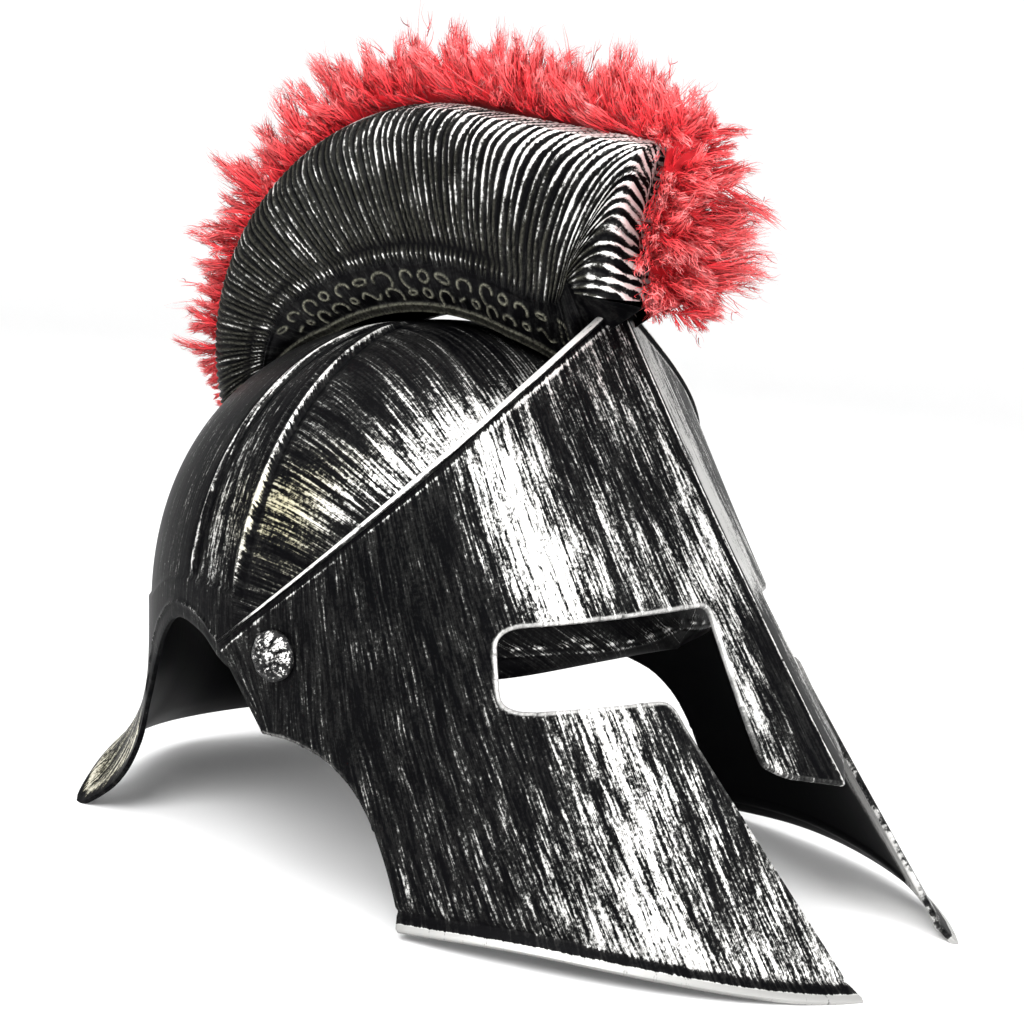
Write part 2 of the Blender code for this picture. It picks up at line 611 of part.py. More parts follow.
# ---- crest ----------------------------------------------------------------------------------
def crest_lines():
    """The crest's guide lines in (y, z), one point for each column: the lower rim, the top of
    the scroll band and the shoulder. The last columns fan round the front end."""
    share = np.linspace(0, 1, 2 * CREST_RIBS + 1)
    half = CREST_HALF_WIDTH - ((CREST_HALF_WIDTH - CREST_REAR_HALF_WIDTH)
                               * np.clip(1 - share / CREST_TAPER, 0, 1)**2)
    rim_y = RIM_START_Y + (RIM_END_Y - RIM_START_Y) * share
    arch = RIM_ARC_CENTRE[1] + np.sqrt(RIM_ARC_RADIUS**2 - (rim_y - RIM_ARC_CENTRE[0])**2)
    dome = dome_height(half - SEAT_INSET, rim_y) + 2 * GAP
    rim = np.stack([rim_y, np.maximum(arch, dome)], -1)
    # The shoulder follows the outer arc and then runs straight to the front.
    centre = np.array(TOP_ARC_CENTRE)
    arc = math.radians(TOP_ARC_END - TOP_ARC_START) * TOP_ARC_RADIUS
    end_turn = math.radians(TOP_ARC_END)
    end = centre + TOP_ARC_RADIUS * np.array([math.cos(end_turn), math.sin(end_turn)])
    front = np.array(FRONT_EDGE[0][1:3]) - end
    along = share * (arc + np.linalg.norm(front))
    turn = math.radians(TOP_ARC_START) + np.minimum(along, arc) / TOP_ARC_RADIUS
    shoulder = centre + TOP_ARC_RADIUS * np.stack([np.cos(turn), np.sin(turn)], -1)
    shoulder += np.clip((along - arc) / np.linalg.norm(front), 0, 1)[:, None] * front
    aim = (shoulder - rim) / np.linalg.norm(shoulder - rim, axis=1, keepdims=True)
    band = rim + aim * (BAND_HEIGHT * np.clip(share / BAND_GROWTH, BAND_START, 1))[:, None]
    pull = np.clip((share - FAN_PULL) / (1 - FAN_PULL), 0, 1)[:, None]**2
    band = band * (1 - pull) + np.array(FAN_PIVOT) * pull
    # The fan turns about the pivot.
    fan = np.linspace(0, 1, 2 * CREST_FAN_RIBS + 1)[1:]
    edge = np.stack([np.interp(fan, column_of(FRONT_EDGE, 3), column_of(FRONT_EDGE, c))
                     for c in (1, 2)], -1)
    foot = np.stack([np.interp(fan, column_of(FRONT_FOOT, 3), column_of(FRONT_FOOT, c))
                     for c in (1, 2)], -1)
    near = FAN_HUB * fan[:, None]
    hub = np.array(FAN_PIVOT) * (1 - near) + edge * near
    half = np.append(half, np.full(len(fan), CREST_HALF_WIDTH))
    return (np.concatenate([rim, foot]), np.concatenate([band, hub]),
            np.concatenate([shoulder, edge]), half)


def crest_layer(inset, rib_rise):
    """Grid of one face of the crest's wall: rows go up the half section, columns along it."""
    rim, band, shoulder, half = crest_lines()
    rib = np.where(np.arange(len(rim)) % 2 == 1, rib_rise, 0.0)
    out = shoulder - band
    out /= np.linalg.norm(out, axis=1, keepdims=True)
    rows = []
    for name, across, width, lift, ribbed in CREST_SECTION:
        low, high = (rim, band) if across <= 1 else (band, shoulder)
        place = low + (high - low) * (across if across <= 1 else across - 1)
        rise = rib * ribbed
        sideways = 1.0 if lift == 0 else CROWN_RIB_SPREAD
        place = place + out * (lift - (inset if across == 2 else 0) + (1 - sideways) * rise)[:, None]
        x = (half - inset) * width + sideways * rise * (width > 0)
        rows.append(np.stack([x, place[:, 0], place[:, 1]], -1))
    return np.array(rows)


def make_crest(parts, cutters, parent):
    """A hollow moulding, open below: ribbed outside, smooth inside, joined round its rim."""
    outer = crest_layer(0.0, CREST_RIB_RISE)
    rows, columns = outer.shape[:2]
    picks = list(range(0, columns, INNER_EVERY))
    inner = crest_layer(CREST_WALL, 0.0)[:, picks]
    few = len(picks)
    base = rows * columns
    faces = grid_faces(rows, columns) + grid_faces(rows, few, base)
    for k in range(few - 1):
        faces.append((*range(picks[k], picks[k + 1] + 1), base + k + 1, base + k))
    for r in range(rows - 1):
        for out_c, in_c in ((0, 0), (columns - 1, few - 1)):
            faces.append((r * columns + out_c, (r + 1) * columns + out_c,
                          base + (r + 1) * few + in_c, base + r * few + in_c))
    verts = np.concatenate([outer.reshape(-1, 3), inner.reshape(-1, 3)])
    crest = add_piece("crest", verts, faces, parts, parent)
    mirror_x(crest)
    bpy.ops.mesh.primitive_cube_add(size=MM)
    plate = bpy.context.active_object
    plate.name = "front_foot"
    plate.data.transform(Matrix.Translation((0, FOOT_PLATE_Y * MM, FOOT_PLATE_Z * MM))
                         @ Matrix.Diagonal((*FOOT_PLATE, 1.0)))
    plate.parent = parent
    move_to(plate, cutters)
    combine(crest, as_cutter(plate), "UNION")
    return crest


# ---- plume ----------------------------------------------------------------------------------
def plume_path():
    """The plume's line in (y, z) along the crest's crown, and its outward unit vectors."""
    shoulder = np.concatenate([crest_lines()[2], [PLUME_END]])
    gaps = np.linalg.norm(np.diff(shoulder, axis=0), axis=1)
    run = np.append(0.0, np.cumsum(gaps))
    at = np.linspace(*PLUME_SPAN, PLUME_LOCKS * PLUME_STEPS + 1) * run[-1]
    line = np.stack([np.interp(at, run, shoulder[:, c]) for c in (0, 1)], -1)
    ahead = np.stack([np.interp(at + PLUME_EASE, run, shoulder[:, c]) for c in (0, 1)], -1)
    behind = np.stack([np.interp(at - PLUME_EASE, run, shoulder[:, c]) for c in (0, 1)], -1)
    along = ahead - behind
    along /= np.linalg.norm(along, axis=1, keepdims=True)
    return line, np.stack([along[:, 1], -along[:, 0]], -1), at / run[-1]


def make_plume(parts, parent):
    """A backing along the crown with the locks grown out of it, as one lofted body."""
    line, out, share = plume_path()
    height = smooth_curve(column_of(PLUME_SIZE, 1), column_of(PLUME_SIZE, 2), share)
    half = smooth_curve(column_of(PLUME_SIZE, 1), column_of(PLUME_SIZE, 3), share)
    phase = np.arange(len(share)) / PLUME_STEPS
    rings = []
    for side, shift in ((1.0, 0.0), (-1.0, 0.5)):
        for name, across, up in (PLUME_SECTION if side > 0 else PLUME_SECTION[::-1]):
            lock = 1 - LOCK_DEPTH * np.abs(2 * ((phase + shift * (1 - up)) % 1.0) - 1)
            number = np.floor(phase + shift * (1 - up))
            lock *= 1 + LOCK_VARIETY * np.sin(LOCK_RHYTHM[0] * number + LOCK_RHYTHM[1] * up)
            grow = lock if up > 0 else 1.0
            x = side * half * across * grow
            lift = PLUME_ROOT_LIFT + height * up * grow
            place = line + out * lift[:, None]
            rings.append(np.stack([x, place[:, 0], place[:, 1]], -1))
    grid = np.array(rings).transpose(1, 0, 2)
    count, sides = grid.shape[:2]
    faces = []
    for r in range(count - 1):
        faces += [(r * sides + c, r * sides + (c + 1) % sides,
                   (r + 1) * sides + (c + 1) % sides, (r + 1) * sides + c) for c in range(sides)]
    faces += [tuple(range(sides)), tuple(range((count - 1) * sides, count * sides))]
    return add_piece("plume", grid.reshape(-1, 3), faces, parts, parent)


def build():
    clear_scene()
    parts = new_collection("gladiator_helmet")
    cutters = new_collection("cutters")
    rest = bpy.data.objects.new("helmet_rest", None)
    parts.objects.link(rest)
    rest.location = (0, STUD_BEHIND * MM, STUD_HEIGHT * MM)
    rest.rotation_euler = (math.radians(-LEAN_BACK), 0, 0)

    # The cheek tips and the neck guard's wings are flattened where they meet the floor.
    floor = floor_block(cutters)
    cap = make_skull_cap(parts, floor, rest)
    visor = make_visor(parts, cutters, floor, rest)
    crest = make_crest(parts, cutters, rest)
    plume = make_plume(parts, rest)
    studs = []
    for label, side in (("right", -1), ("left", 1)):
        hole = stud_hole(f"stud_hole_{label}", side, cutters, rest)
        combine(cap, hole, "DIFFERENCE")
        combine(visor, hole, "DIFFERENCE")
        studs.append(make_stud(f"stud_{label}", side, parts, cutters, rest))

    finish(cap, plastic("cap_plastic", (0.10, 0.10, 0.09), 0.45, 0.3))
    finish(visor, plastic("visor_plastic", (0.16, 0.16, 0.16), 0.4, 0.4))
    finish(crest, plastic("crest_plastic", (0.06, 0.06, 0.06), 0.45, 0.3))
    finish(plume, plastic("plume_feather", (0.75, 0.03, 0.05), 0.9, 0.0), PLUME_SHARP)
    for stud in studs:
        finish(stud, plastic(stud.name + "_plastic", (0.4, 0.4, 0.4), 0.35, 0.8))


build()
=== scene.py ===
# %% [markdown]
# # A gladiator helmet with a red plume
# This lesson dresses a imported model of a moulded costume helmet. The model already has the right size and
# moving parts, but its faces are flat and few. Each step below replaces one plain piece with a finely shaped
# one, gives it a dry-brushed plastic finish, and says how the real thing is made.

# %% Frame
import json
import math

import bpy
import numpy as np
from mathutils import Matrix


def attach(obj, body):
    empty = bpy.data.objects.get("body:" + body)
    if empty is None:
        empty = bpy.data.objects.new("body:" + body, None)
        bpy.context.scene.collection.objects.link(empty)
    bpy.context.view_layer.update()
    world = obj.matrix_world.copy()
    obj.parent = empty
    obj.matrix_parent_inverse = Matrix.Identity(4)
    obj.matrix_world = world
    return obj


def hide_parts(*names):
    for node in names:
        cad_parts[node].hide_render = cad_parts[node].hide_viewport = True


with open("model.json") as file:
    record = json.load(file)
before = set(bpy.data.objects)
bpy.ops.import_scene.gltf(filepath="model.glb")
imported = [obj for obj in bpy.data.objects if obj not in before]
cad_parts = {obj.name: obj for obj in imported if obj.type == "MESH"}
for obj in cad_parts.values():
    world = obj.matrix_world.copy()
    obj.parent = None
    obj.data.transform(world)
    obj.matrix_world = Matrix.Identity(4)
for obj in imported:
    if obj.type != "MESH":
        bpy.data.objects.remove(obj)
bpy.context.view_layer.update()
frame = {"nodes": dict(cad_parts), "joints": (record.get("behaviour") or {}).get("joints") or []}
print("nodes:", sorted(frame["nodes"]))

# %% [markdown]
# The helmet leans back a little when it stands on its cheek tips and neck guard, so it is easiest to shape it
# in a frame of its own: the origin is the middle of the stud axis, X is the wearer's left, -Y the front and
# Z up, in millimetres. One function stands such points up in the row's frame, in metres.

# %% The helmet's own frame
MM = 0.001
LEAN_BACK = 6.54
STUD = np.array(frame["joints"][0]["pos_m"]) / MM


def stand(points):
    """Turn about X by minus the lean, move the origin to the stud axis, and change to metres."""
    lean = math.radians(-LEAN_BACK)
    x, y, z = np.moveaxis(np.asarray(points, float), -1, 0)
    turned = np.stack([x, y * math.cos(lean) - z * math.sin(lean),
                       y * math.sin(lean) + z * math.cos(lean)], -1)
    return (turned + STUD) * MM


print("stud axis, mm:", STUD)

# %% [markdown]
# Every surface here is a grid of points worked out as one numpy array, and a grid of rows and columns becomes
# quads by index arithmetic. Working with arrays is quick, and it keeps each shape as a formula. A few small
# functions come back all the time: a slope, a hill, and the distance along a line.

# %% Grids and closed bodies
MIRROR = np.array([-1.0, 1.0, 1.0])


def unit(v):
    """Vectors made one long; the floor keeps a zero vector from dividing by zero."""
    return v / np.maximum(np.linalg.norm(v, axis=-1, keepdims=True), 1e-9)


def fade(distance, width):
    """A straight slope from 0, at and below distance 0, to 1 at a distance of width and above."""
    return np.clip(distance / width, 0, 1)


def bump(distance, width):
    """A smooth hill: one at distance 0, falling as exp(-(distance / width) squared)."""
    return np.exp(-(distance / width) ** 2)


def run_along(line):
    """Distance of each point of a line from its start, along the line."""
    return np.append(0.0, np.cumsum(np.linalg.norm(np.diff(line, axis=0), axis=1)))


def grid_quads(rows, columns, ring=False):
    """Quads of a grid stored row after row: each joins a point, its neighbour, and the two in the next row.
    In a ring the last column's neighbour is the first."""
    r, c = np.meshgrid(np.arange(rows - 1), np.arange(columns if ring else columns - 1), indexing="ij")
    first, beside = (r * columns + c).ravel(), (r * columns + (c + 1) % columns).ravel()
    return np.stack([first, beside, beside + columns, first + columns], -1)


def as_triangles(quads):
    """Each quad cut along one diagonal."""
    return np.concatenate([quads[:, [0, 1, 2]], quads[:, [0, 2, 3]]])


def outward_faces(points, faces):
    """The faces as they are if the closed mesh's signed volume is positive, else turned over."""
    a, b, c = (points[faces[:, i]] for i in range(3))
    return faces if np.einsum("ij,ij->i", a, np.cross(b, c)).sum() > 0 else faces[:, ::-1]


def closed_body(rings, ends):
    """Points and triangles of a row of rings that are closed by a fan to a point before and one after."""
    rows, columns = rings.shape[:2]
    here, beside = np.arange(columns), (np.arange(columns) + 1) % columns
    start = rows * columns
    near = np.stack([np.full(columns, start), beside, here], -1)
    far = np.stack([np.full(columns, start + 1), start - columns + here, start - columns + beside], -1)
    points = np.concatenate([rings.reshape(-1, 3), ends])
    sides = as_triangles(grid_quads(rows, columns, ring=True))
    return points, outward_faces(points, np.concatenate([sides, near, far]))


# %% [markdown]
# A moulded wall is a sheet and a copy of it, set in by the wall's thickness, with a rounded rim between them.

# %% Normals and walls
def point_normals(points, triangles):
    """At each point, the sum of its triangles' cross products, made unit length."""
    a, b, c = (points[triangles[:, i]] for i in range(3))
    across = np.cross(b - a, c - a)
    total = np.zeros_like(points)
    for i in range(3):
        np.add.at(total, triangles[:, i], across)
    return unit(total)


def open_edges(triangles):
    """Directed edges that no other triangle uses the opposite way."""
    edges = np.concatenate([triangles[:, [0, 1]], triangles[:, [1, 2]], triangles[:, [2, 0]]])
    size = triangles.max() + 1
    code = edges[:, 0] * size + edges[:, 1]
    back = edges[:, 1] * size + edges[:, 0]
    return edges[~np.isin(code, back)]


def wall_of(points, triangles, wall, values, squareness=0.7):
    """A closed wall: the sheet, a copy set in along its normals, and a rounded rim over every open edge.
    The rim's section is half a superellipse from the outer to the inner face. values are per-point
    arrays, which the copy and the rim take over. Last comes 0 for the outer face, 1 for the inner."""
    count = len(points)
    normals = point_normals(points, triangles)
    inner = points - normals * wall
    edges = open_edges(triangles)
    lip = np.unique(edges)
    place = np.full(count, -1)
    place[lip] = np.arange(len(lip))
    # Away from the sheet, square to the edge and to the normal.
    away = np.zeros_like(points)
    along = points[edges[:, 1]] - points[edges[:, 0]]
    out = np.cross(along, normals[edges[:, 0]])
    for end in (0, 1):
        np.add.at(away, edges[:, end], out)
    away = unit(away[lip])
    middle = (points[lip] + inner[lip]) / 2
    rings = [points, inner]
    for turn in (0.25 * math.pi, 0.5 * math.pi, 0.75 * math.pi):
        up = np.sign(math.cos(turn)) * abs(math.cos(turn)) ** squareness
        rings.append(middle + wall / 2 * (up * normals[lip] + math.sin(turn) ** squareness * away))
    start = [lip[place[edges]] if k == 0 else 2 * count + (k - 1) * len(lip) + place[edges]
             for k in range(4)] + [count + edges]
    faces = [triangles, count + triangles[:, ::-1]]
    for near, far in zip(start[:-1], start[1:]):
        faces.append(np.stack([near[:, 1], near[:, 0], far[:, 0]], -1))
        faces.append(np.stack([near[:, 1], far[:, 0], far[:, 1]], -1))
    spread = [np.concatenate([v, v, v[lip], v[lip], v[lip]]) for v in values]
    side = np.concatenate([np.zeros(count), np.ones(count), np.full(len(lip), 0.15),
                           np.full(len(lip), 0.4), np.full(len(lip), 0.75)])
    return np.concatenate(rings), np.concatenate(faces), [*spread, side]


# %% [markdown]
# A mesh piece takes its points, its faces, a UV map and any number of named values for each point. The values
# are what a painter would know: how near an edge is, how far the dry brush reached, and so on.

# %% Making a piece
def into_scene(name, data):
    """A new object for a mesh, lamp or camera."""
    thing = bpy.data.objects.new(name, data)
    bpy.context.scene.collection.objects.link(thing)
    return thing


def make_piece(name, points, faces, uv=None, values=None, sharp=40.0, facing=None):
    """A mesh object in the row's frame from points in the helmet's frame, smooth except at sharp edges.
    facing, where given, is the direction that each point is shaded by."""
    mesh = bpy.data.meshes.new(name)
    mesh.from_pydata(stand(points), [], faces.tolist())
    mesh.update()
    if uv is not None:
        layer = mesh.uv_layers.new(name="UVMap")
        corner = np.empty(len(mesh.loops), np.int32)
        mesh.loops.foreach_get("vertex_index", corner)
        layer.data.foreach_set("uv", uv[corner].astype(np.float32).ravel())
    for label, value in (values or {}).items():
        layer = mesh.attributes.new(label, "FLOAT", "POINT")
        layer.data.foreach_set("value", np.asarray(value, np.float32))
    mesh.shade_smooth()
    if facing is None:
        mesh.set_sharp_from_angle(angle=math.radians(sharp))
    else:
        mesh.normals_split_custom_set_from_vertices(((stand(facing) - stand(np.zeros(3))) / MM).tolist())
    print(f"{name}: {len(points)} points, {len(faces)} faces")
    return into_scene(name, mesh)


# %% [markdown]
# ## The skull cap
# The cap is one moulded shell: a round dome over the head, a border band, an arch over each ear and a neck
# guard that flares into two wings. Its lower edge is the hard part, so a short table gives the edge's course
# and a smooth curve is led through it. The wall between the dome and the edge is then one bend per column.

# %% The cap's edge
CAP_WALL = 2.0
CAP_HALF_WIDTH = 96.6
CAP_HALF_LENGTH = 99.0
CAP_CENTRE_Y = 13.0
CAP_HEIGHT = 103.0
CAP_ROUNDNESS = 2.2
CAP_COLUMNS = 205            # on each side, closer together at the ribs
# Plan angle 0 is the front and 180 the rear; band_z is the border band's upper line.
CAP_EDGE = [
    # name,           angle, edge_x, edge_y, edge_z, band_z
    ("brow centre",     0.0,    0.0,  -86.0,   -3.0,    5.5),
    ("brow side",      42.0,   64.6,  -60.6,   -6.0,    4.0),
    ("temple",         80.0,   95.1,   -4.2,  -10.0,    8.0),
    ("behind stud",    95.0,   96.2,   21.6,   -6.5,   18.0),
    ("arch front",    104.0,   93.7,   37.0,    4.0,   20.5),
    ("arch peak",     113.0,   88.9,   51.7,    7.2,   20.5),
    ("arch rear",     121.0,   82.8,   64.0,    0.5,   17.5),
    ("skirt top",     130.5,   73.5,   77.3,  -13.0,   10.5),
    ("skirt",         135.0,   71.3,   83.0,  -26.0,    9.5),
    ("skirt low",     138.0,   74.0,   86.0,  -42.0,    9.3),
    ("wing front",    141.0,   77.5,   93.0,  -55.0,    9.2),
    ("wing tip",      146.0,   78.5,  109.0,  -64.0,    9.0),
    ("wing rear",     151.0,   70.5,  112.5,  -57.0,    9.0),
    ("lip side",      158.0,   56.0,  116.5,  -50.0,    9.0),
    ("lip",           168.0,   33.0,  127.5,  -48.5,    9.0),
    ("lip centre",    180.0,    0.0,  136.0,  -49.0,    9.0),
    ("lip mirrored",  192.0,  -33.0,  127.5,  -48.5,    9.0),   # only gives the centre a level slope
]
RIB_TOP = (86.0, 105.0)      # plan angle of each raised rib at the crown
RIB_FOOT = (94.5, 108.0)     # and at the band


def smooth_curve(knots, values, at):
    """Cubic through the knots: each span blends its end values and end slopes with cubic weights."""
    knots = np.asarray(knots, float)
    values = np.asarray(values, float)
    slope = np.gradient(values, knots)
    i = np.clip(np.searchsorted(knots, at, side="right") - 1, 0, len(knots) - 2)
    step = knots[i + 1] - knots[i]
    t = (at - knots[i]) / step
    return ((2 * t**3 - 3 * t**2 + 1) * values[i] + (t**3 - 2 * t**2 + t) * step * slope[i]
            + (3 * t**2 - 2 * t**3) * values[i + 1] + (t**3 - t**2) * step * slope[i + 1])


def spread_by(weight, count):
    """count places from 0 to 1 whose spacing is inversely proportional to weight, an array over 0 to 1."""
    total = np.append(0.0, np.cumsum((weight[1:] + weight[:-1]) / 2))
    return np.interp(np.linspace(0, total[-1], count), total, np.linspace(0, 1, len(weight)))


edge = np.array([row[1:] for row in CAP_EDGE])
fine = np.linspace(0, len(edge) - 2, 4001)
fine_angle, *fine_place = (smooth_curve(np.arange(len(edge)), edge[:, c], fine) for c in range(4))
fine_run = np.gradient(fine_angle) * 1.7 + np.linalg.norm(np.gradient(np.array(fine_place), axis=1), axis=0)
near_rib = sum(bump(fine_angle - (a + b) / 2, 6.0) for a, b in zip(RIB_TOP, RIB_FOOT))
cap_places = spread_by(fine_run * (1 + 1.6 * near_rib), CAP_COLUMNS) * (len(edge) - 2)
angle, edge_x, edge_y, edge_z, band_z = (
    smooth_curve(np.arange(len(edge)), edge[:, c], cap_places) for c in range(5))
print("cap columns on each side:", len(cap_places))

# %% [markdown]
# The dome is a superellipse turned about the crown: a point at height z stands at the share
# (1 - (z/H)^n)^(1/n) of the full half width and half length. Two ribs run up each side, each a rounded ridge
# with a groove before it, and the border band stands 0.8 mm proud.

# %% The cap's sheet
DOME_ROWS = 64
LOWER_ROWS = 22
BAND_RISE = 0.8
BAND_STEP = 1.2
LOWER_BEND = (0.3, 0.72)     # the lower wall stays upright to about here, then flares


def cap_wall(turn, z, proud=0.0):
    """Point of the dome at a plan angle and height: half axes times the share, times sine and cosine."""
    up = np.clip(z / CAP_HEIGHT, 0.0, 1.0)
    share = (1 - up**CAP_ROUNDNESS) ** (1 / CAP_ROUNDNESS)
    x = (CAP_HALF_WIDTH * share + proud) * np.sin(turn)
    y = CAP_CENTRE_Y - (CAP_HALF_LENGTH * share + proud) * np.cos(turn)
    return np.stack([x, y, np.broadcast_to(z, x.shape)], -1)


def cap_half():
    """Rows from the crown to the lower edge, for x >= 0, and the height of the ribs at each point."""
    turn = np.radians(angle)
    low_turn = np.arccos((band_z / CAP_HEIGHT) ** (CAP_ROUNDNESS / 2))
    rows, ribs = [], []
    for k in range(1, DOME_ROWS + 1):
        down = k / DOME_ROWS
        z = CAP_HEIGHT * np.cos(low_turn * down) ** (2 / CAP_ROUNDNESS)
        radius = CAP_HALF_WIDTH * np.sin(low_turn * down)
        ridge = np.zeros_like(turn)
        for top, foot in zip(RIB_TOP, RIB_FOOT):
            off = np.radians(angle - (top + (foot - top) * down)) * radius
            ridge += 1.15 * bump(off, 1.1) - 0.55 * bump(off + 2.6, 1.2) - 0.25 * bump(off - 2.4, 1.0)
        ridge *= np.clip((down - 0.06) * 8, 0, 1) * np.clip((1 - down) * 40, 0, 1)
        lift = np.outer(ridge * np.cos(low_turn * down), [0, 0, 1.0])
        rows.append(cap_wall(turn, z, ridge * np.sin(low_turn * down)) + lift)
        ribs.append(ridge)
    drop = edge_z - band_z
    ends = [cap_wall(turn, band_z - BAND_STEP, BAND_RISE)]
    ends += [cap_wall(turn, band_z + share * drop, BAND_RISE) for share in LOWER_BEND]
    ends.append(np.stack([edge_x, edge_y, edge_z], -1))
    for t in np.linspace(0, 1, LOWER_ROWS):
        rows.append((1 - t)**3 * ends[0] + 3 * t * (1 - t)**2 * ends[1]
                    + 3 * t**2 * (1 - t) * ends[2] + t**3 * ends[3])
        ribs.append(np.zeros_like(turn))
    grid = np.array(rows)
    grid[:, [0, -1], 0] = 0.0
    return grid, np.array(ribs)


def run_down(grid):
    """Distance along each column from its last row, row by row."""
    steps = np.linalg.norm(np.diff(grid, axis=0), axis=2)
    return np.concatenate([np.cumsum(steps[::-1], axis=0)[::-1], np.zeros((1, grid.shape[1]))])


def both_sides(half, sign=1.0):
    """A ring from a half grid: the half, then its mirror image read back without the two seam columns."""
    return np.concatenate([half, half[:, -2:0:-1] * sign], axis=1)


half, rib_height = cap_half()
from_edge = run_down(half)
ring = both_sides(half, MIRROR)
rows, columns = ring.shape[:2]
# The rows run down, so each quad is read the other way round to face outwards.
quads = grid_quads(rows, columns, ring=True)[:, [0, 3, 2, 1]]
fan = np.stack([np.full(columns, rows * columns), np.arange(columns), (np.arange(columns) + 1) % columns], -1)
cap_points = np.concatenate([ring.reshape(-1, 3), [[0, CAP_CENTRE_Y, CAP_HEIGHT]]])
cap_faces = np.concatenate([as_triangles(quads), fan])
print("cap sheet:", rows, "rows by", columns, "columns; outward at the crown:",
      point_normals(cap_points, cap_faces)[-1].round(2))

# %% [markdown]
# The mould also pressed fine lines into the border: a raised line runs 5 mm inside the edge, and over the
# brow it becomes a row of dots between two thin lines. They follow the edge, so they are hills over the
# distance from the edge, and the dots are that line times a wave along it.

# %% Border lines
LINE_INSIDE = 4.6            # from the edge
DOTS_INSIDE = 8.5
DOT_PITCH = 2.6

ring_edge = both_sides(from_edge).ravel()
ring_rib = both_sides(rib_height).ravel()
ring_angle = both_sides(np.broadcast_to(angle, from_edge.shape)).ravel()
ring_run = both_sides(np.broadcast_to(run_along(half[-1]), from_edge.shape)).ravel()
brow = fade(88 - ring_angle, 8)
dots = 0.5 + 0.5 * np.cos(2 * math.pi * ring_run / DOT_PITCH)
dotted = 0.7 * bump(ring_edge - DOTS_INSIDE, 0.9) * dots
dotted += 0.4 * bump(ring_edge - 10.6, 0.5) + 0.4 * bump(ring_edge - 6.4, 0.5)
line = (1 - brow) * 0.55 * bump(ring_edge - LINE_INSIDE, 0.7) + brow * dotted
cap_points = cap_points + point_normals(cap_points, cap_faces) * np.append(line, 0.0)[:, None]
print("height of the border lines, mm:", line.max().round(2))

# %% [markdown]
# The brush swung round in arcs from the crown to the visor's rim, and went straight down behind the ribs. The
# map's first number stays the same along a stroke and the second runs along it, so noise that is long in the
# second number looks like bristle marks. How far the paint covers is one more value per point.

# %% The cap's finish map
# The visor's rim lies in the plane z = level - fall_y y - fall_x |x| on each side.
RIM_LEVEL = 66.3
RIM_FALL_Y = 0.68
RIM_FALL_X = 0.48
RIM_PEAK = 105.0
BRUSH_BREAKS = (94.5, 106.5)     # plan angles where the brush lifts, at the two ribs

x, y, z = cap_points.T
wide = np.abs(x)
plan = np.append(ring_angle, 0.0)
front = plan < BRUSH_BREAKS[0]
between = (plan >= BRUSH_BREAKS[0]) & (plan < BRUSH_BREAKS[1])
arc = np.radians(plan) * 97.0
# On each arc a x + b y + c z + d z^2 is the same.
swung = 1.14 * wide + 0.24 * y - 1.62 * z + 0.0114 * z**2
across = np.where(front, swung, arc)
along = np.where(front, (y - 0.3 * z) * np.interp(z, (60, 85), (1.0, 0.55)), np.where(between, 1.8 * z, z))
cap_uv = np.stack([across, along], -1) * MM
dome = fade(z - 12, 10)
above_rim = z + RIM_FALL_Y * y + RIM_FALL_X * wide - RIM_LEVEL
# The front is brushed heaviest just above the visor's rim and on the upper dome, partly a painted highlight.
front_brush = 0.19 + 0.40 * bump(above_rim, 20.0) * bump(z - 69, 12.0) + 0.10 * bump(z - 80, 12.0)
front_brush += 0.32 * bump(above_rim - 16, 38.0) * bump(z - 50, 16.0)
cap_brush = np.where(front, front_brush, np.where(between, 0.36 - 0.12 * bump(z - 90, 20.0), 0.20))
rib_top = np.append(np.clip(ring_rib, 0, 1), 0)
cap_brush = cap_brush * dome + 0.12 * (1 - dome) + 0.40 * rib_top**2
cap_brush += np.append((0.5 + 0.2 * brow) * line, 0)
cap_brush -= 0.45 * np.append(np.clip(-2.5 * ring_rib, 0, 1), 0)
# The flared wings are painted tan-grey inside a bare dark border.
edge_off = np.append(ring_edge, 99.0)
wing = fade(-24 - z, 14) * fade(plan - 132, 6) * fade(166 - plan, 8)
cap_brush += wing * 0.36 * fade(edge_off - 3.6, 1.2)
cap_tint = bump(np.hypot(y - 6, z - 38), 13.0) + 0.5 * bump(above_rim - 30, 12.0) * bump(z - 52, 10.0)
cap_tint += 0.6 * wing
values = [cap_uv[:, 0], cap_uv[:, 1], cap_brush, cap_tint]
points, faces, (u, v, brush, tint, side) = wall_of(cap_points, cap_faces, CAP_WALL, values)
skull_cap = make_piece("cap_shell", points, faces, np.stack([u, v], -1),
                       {"brush": brush, "inside": side, "tint": tint})

# %% [markdown]
# ## The visor
# The visor is a face plate with a crease down the middle, like a ship's prow. It slopes forward and down, and
# its top rim lies in one slanting plane on each side. It is shaped as one whole sheet first, because the
# streaks of the brush run unbroken from the rim to the cheeks, and the openings are cut from it afterwards.

# %% The visor's section and sheet
VISOR_WALL = 2.0
VISOR_HALF_WIDTH = 100.0
VISOR_NARROW = (0.054, -0.00086)     # what height above 0 and its square add to the half width
VISOR_REACH = 104.5          # to the front at height 0
VISOR_REACH_SLOPE = 0.58
VISOR_REACH_CURVE = 0.00036
VISOR_PROW = 17.4
VISOR_SQUARENESS = 2.2
CHEEK_SQUARENESS = 0.5
CHEEK_TOP = -20.0
CHEEK_BOTTOM = -85.0
LIP_DEPTH = 5.0
LIP_OUT = 2.0
BOTTOM_Y = (-165.0, -123.0, -88.0, -47.0, 30.0)
BOTTOM_Z = (-95.0, -85.5, -80.2, -78.7, -78.7)
SIDE_REAR_Y = (24.0, 6.0)
SIDE_REAR_Z = (2.0, -24.0)
FACE_COLUMNS, SIDE_COLUMNS = 100, 12
LIP_ROWS, PLATE_ROWS = 12, 128
ROUNDS = 60                  # of stepping towards the edges


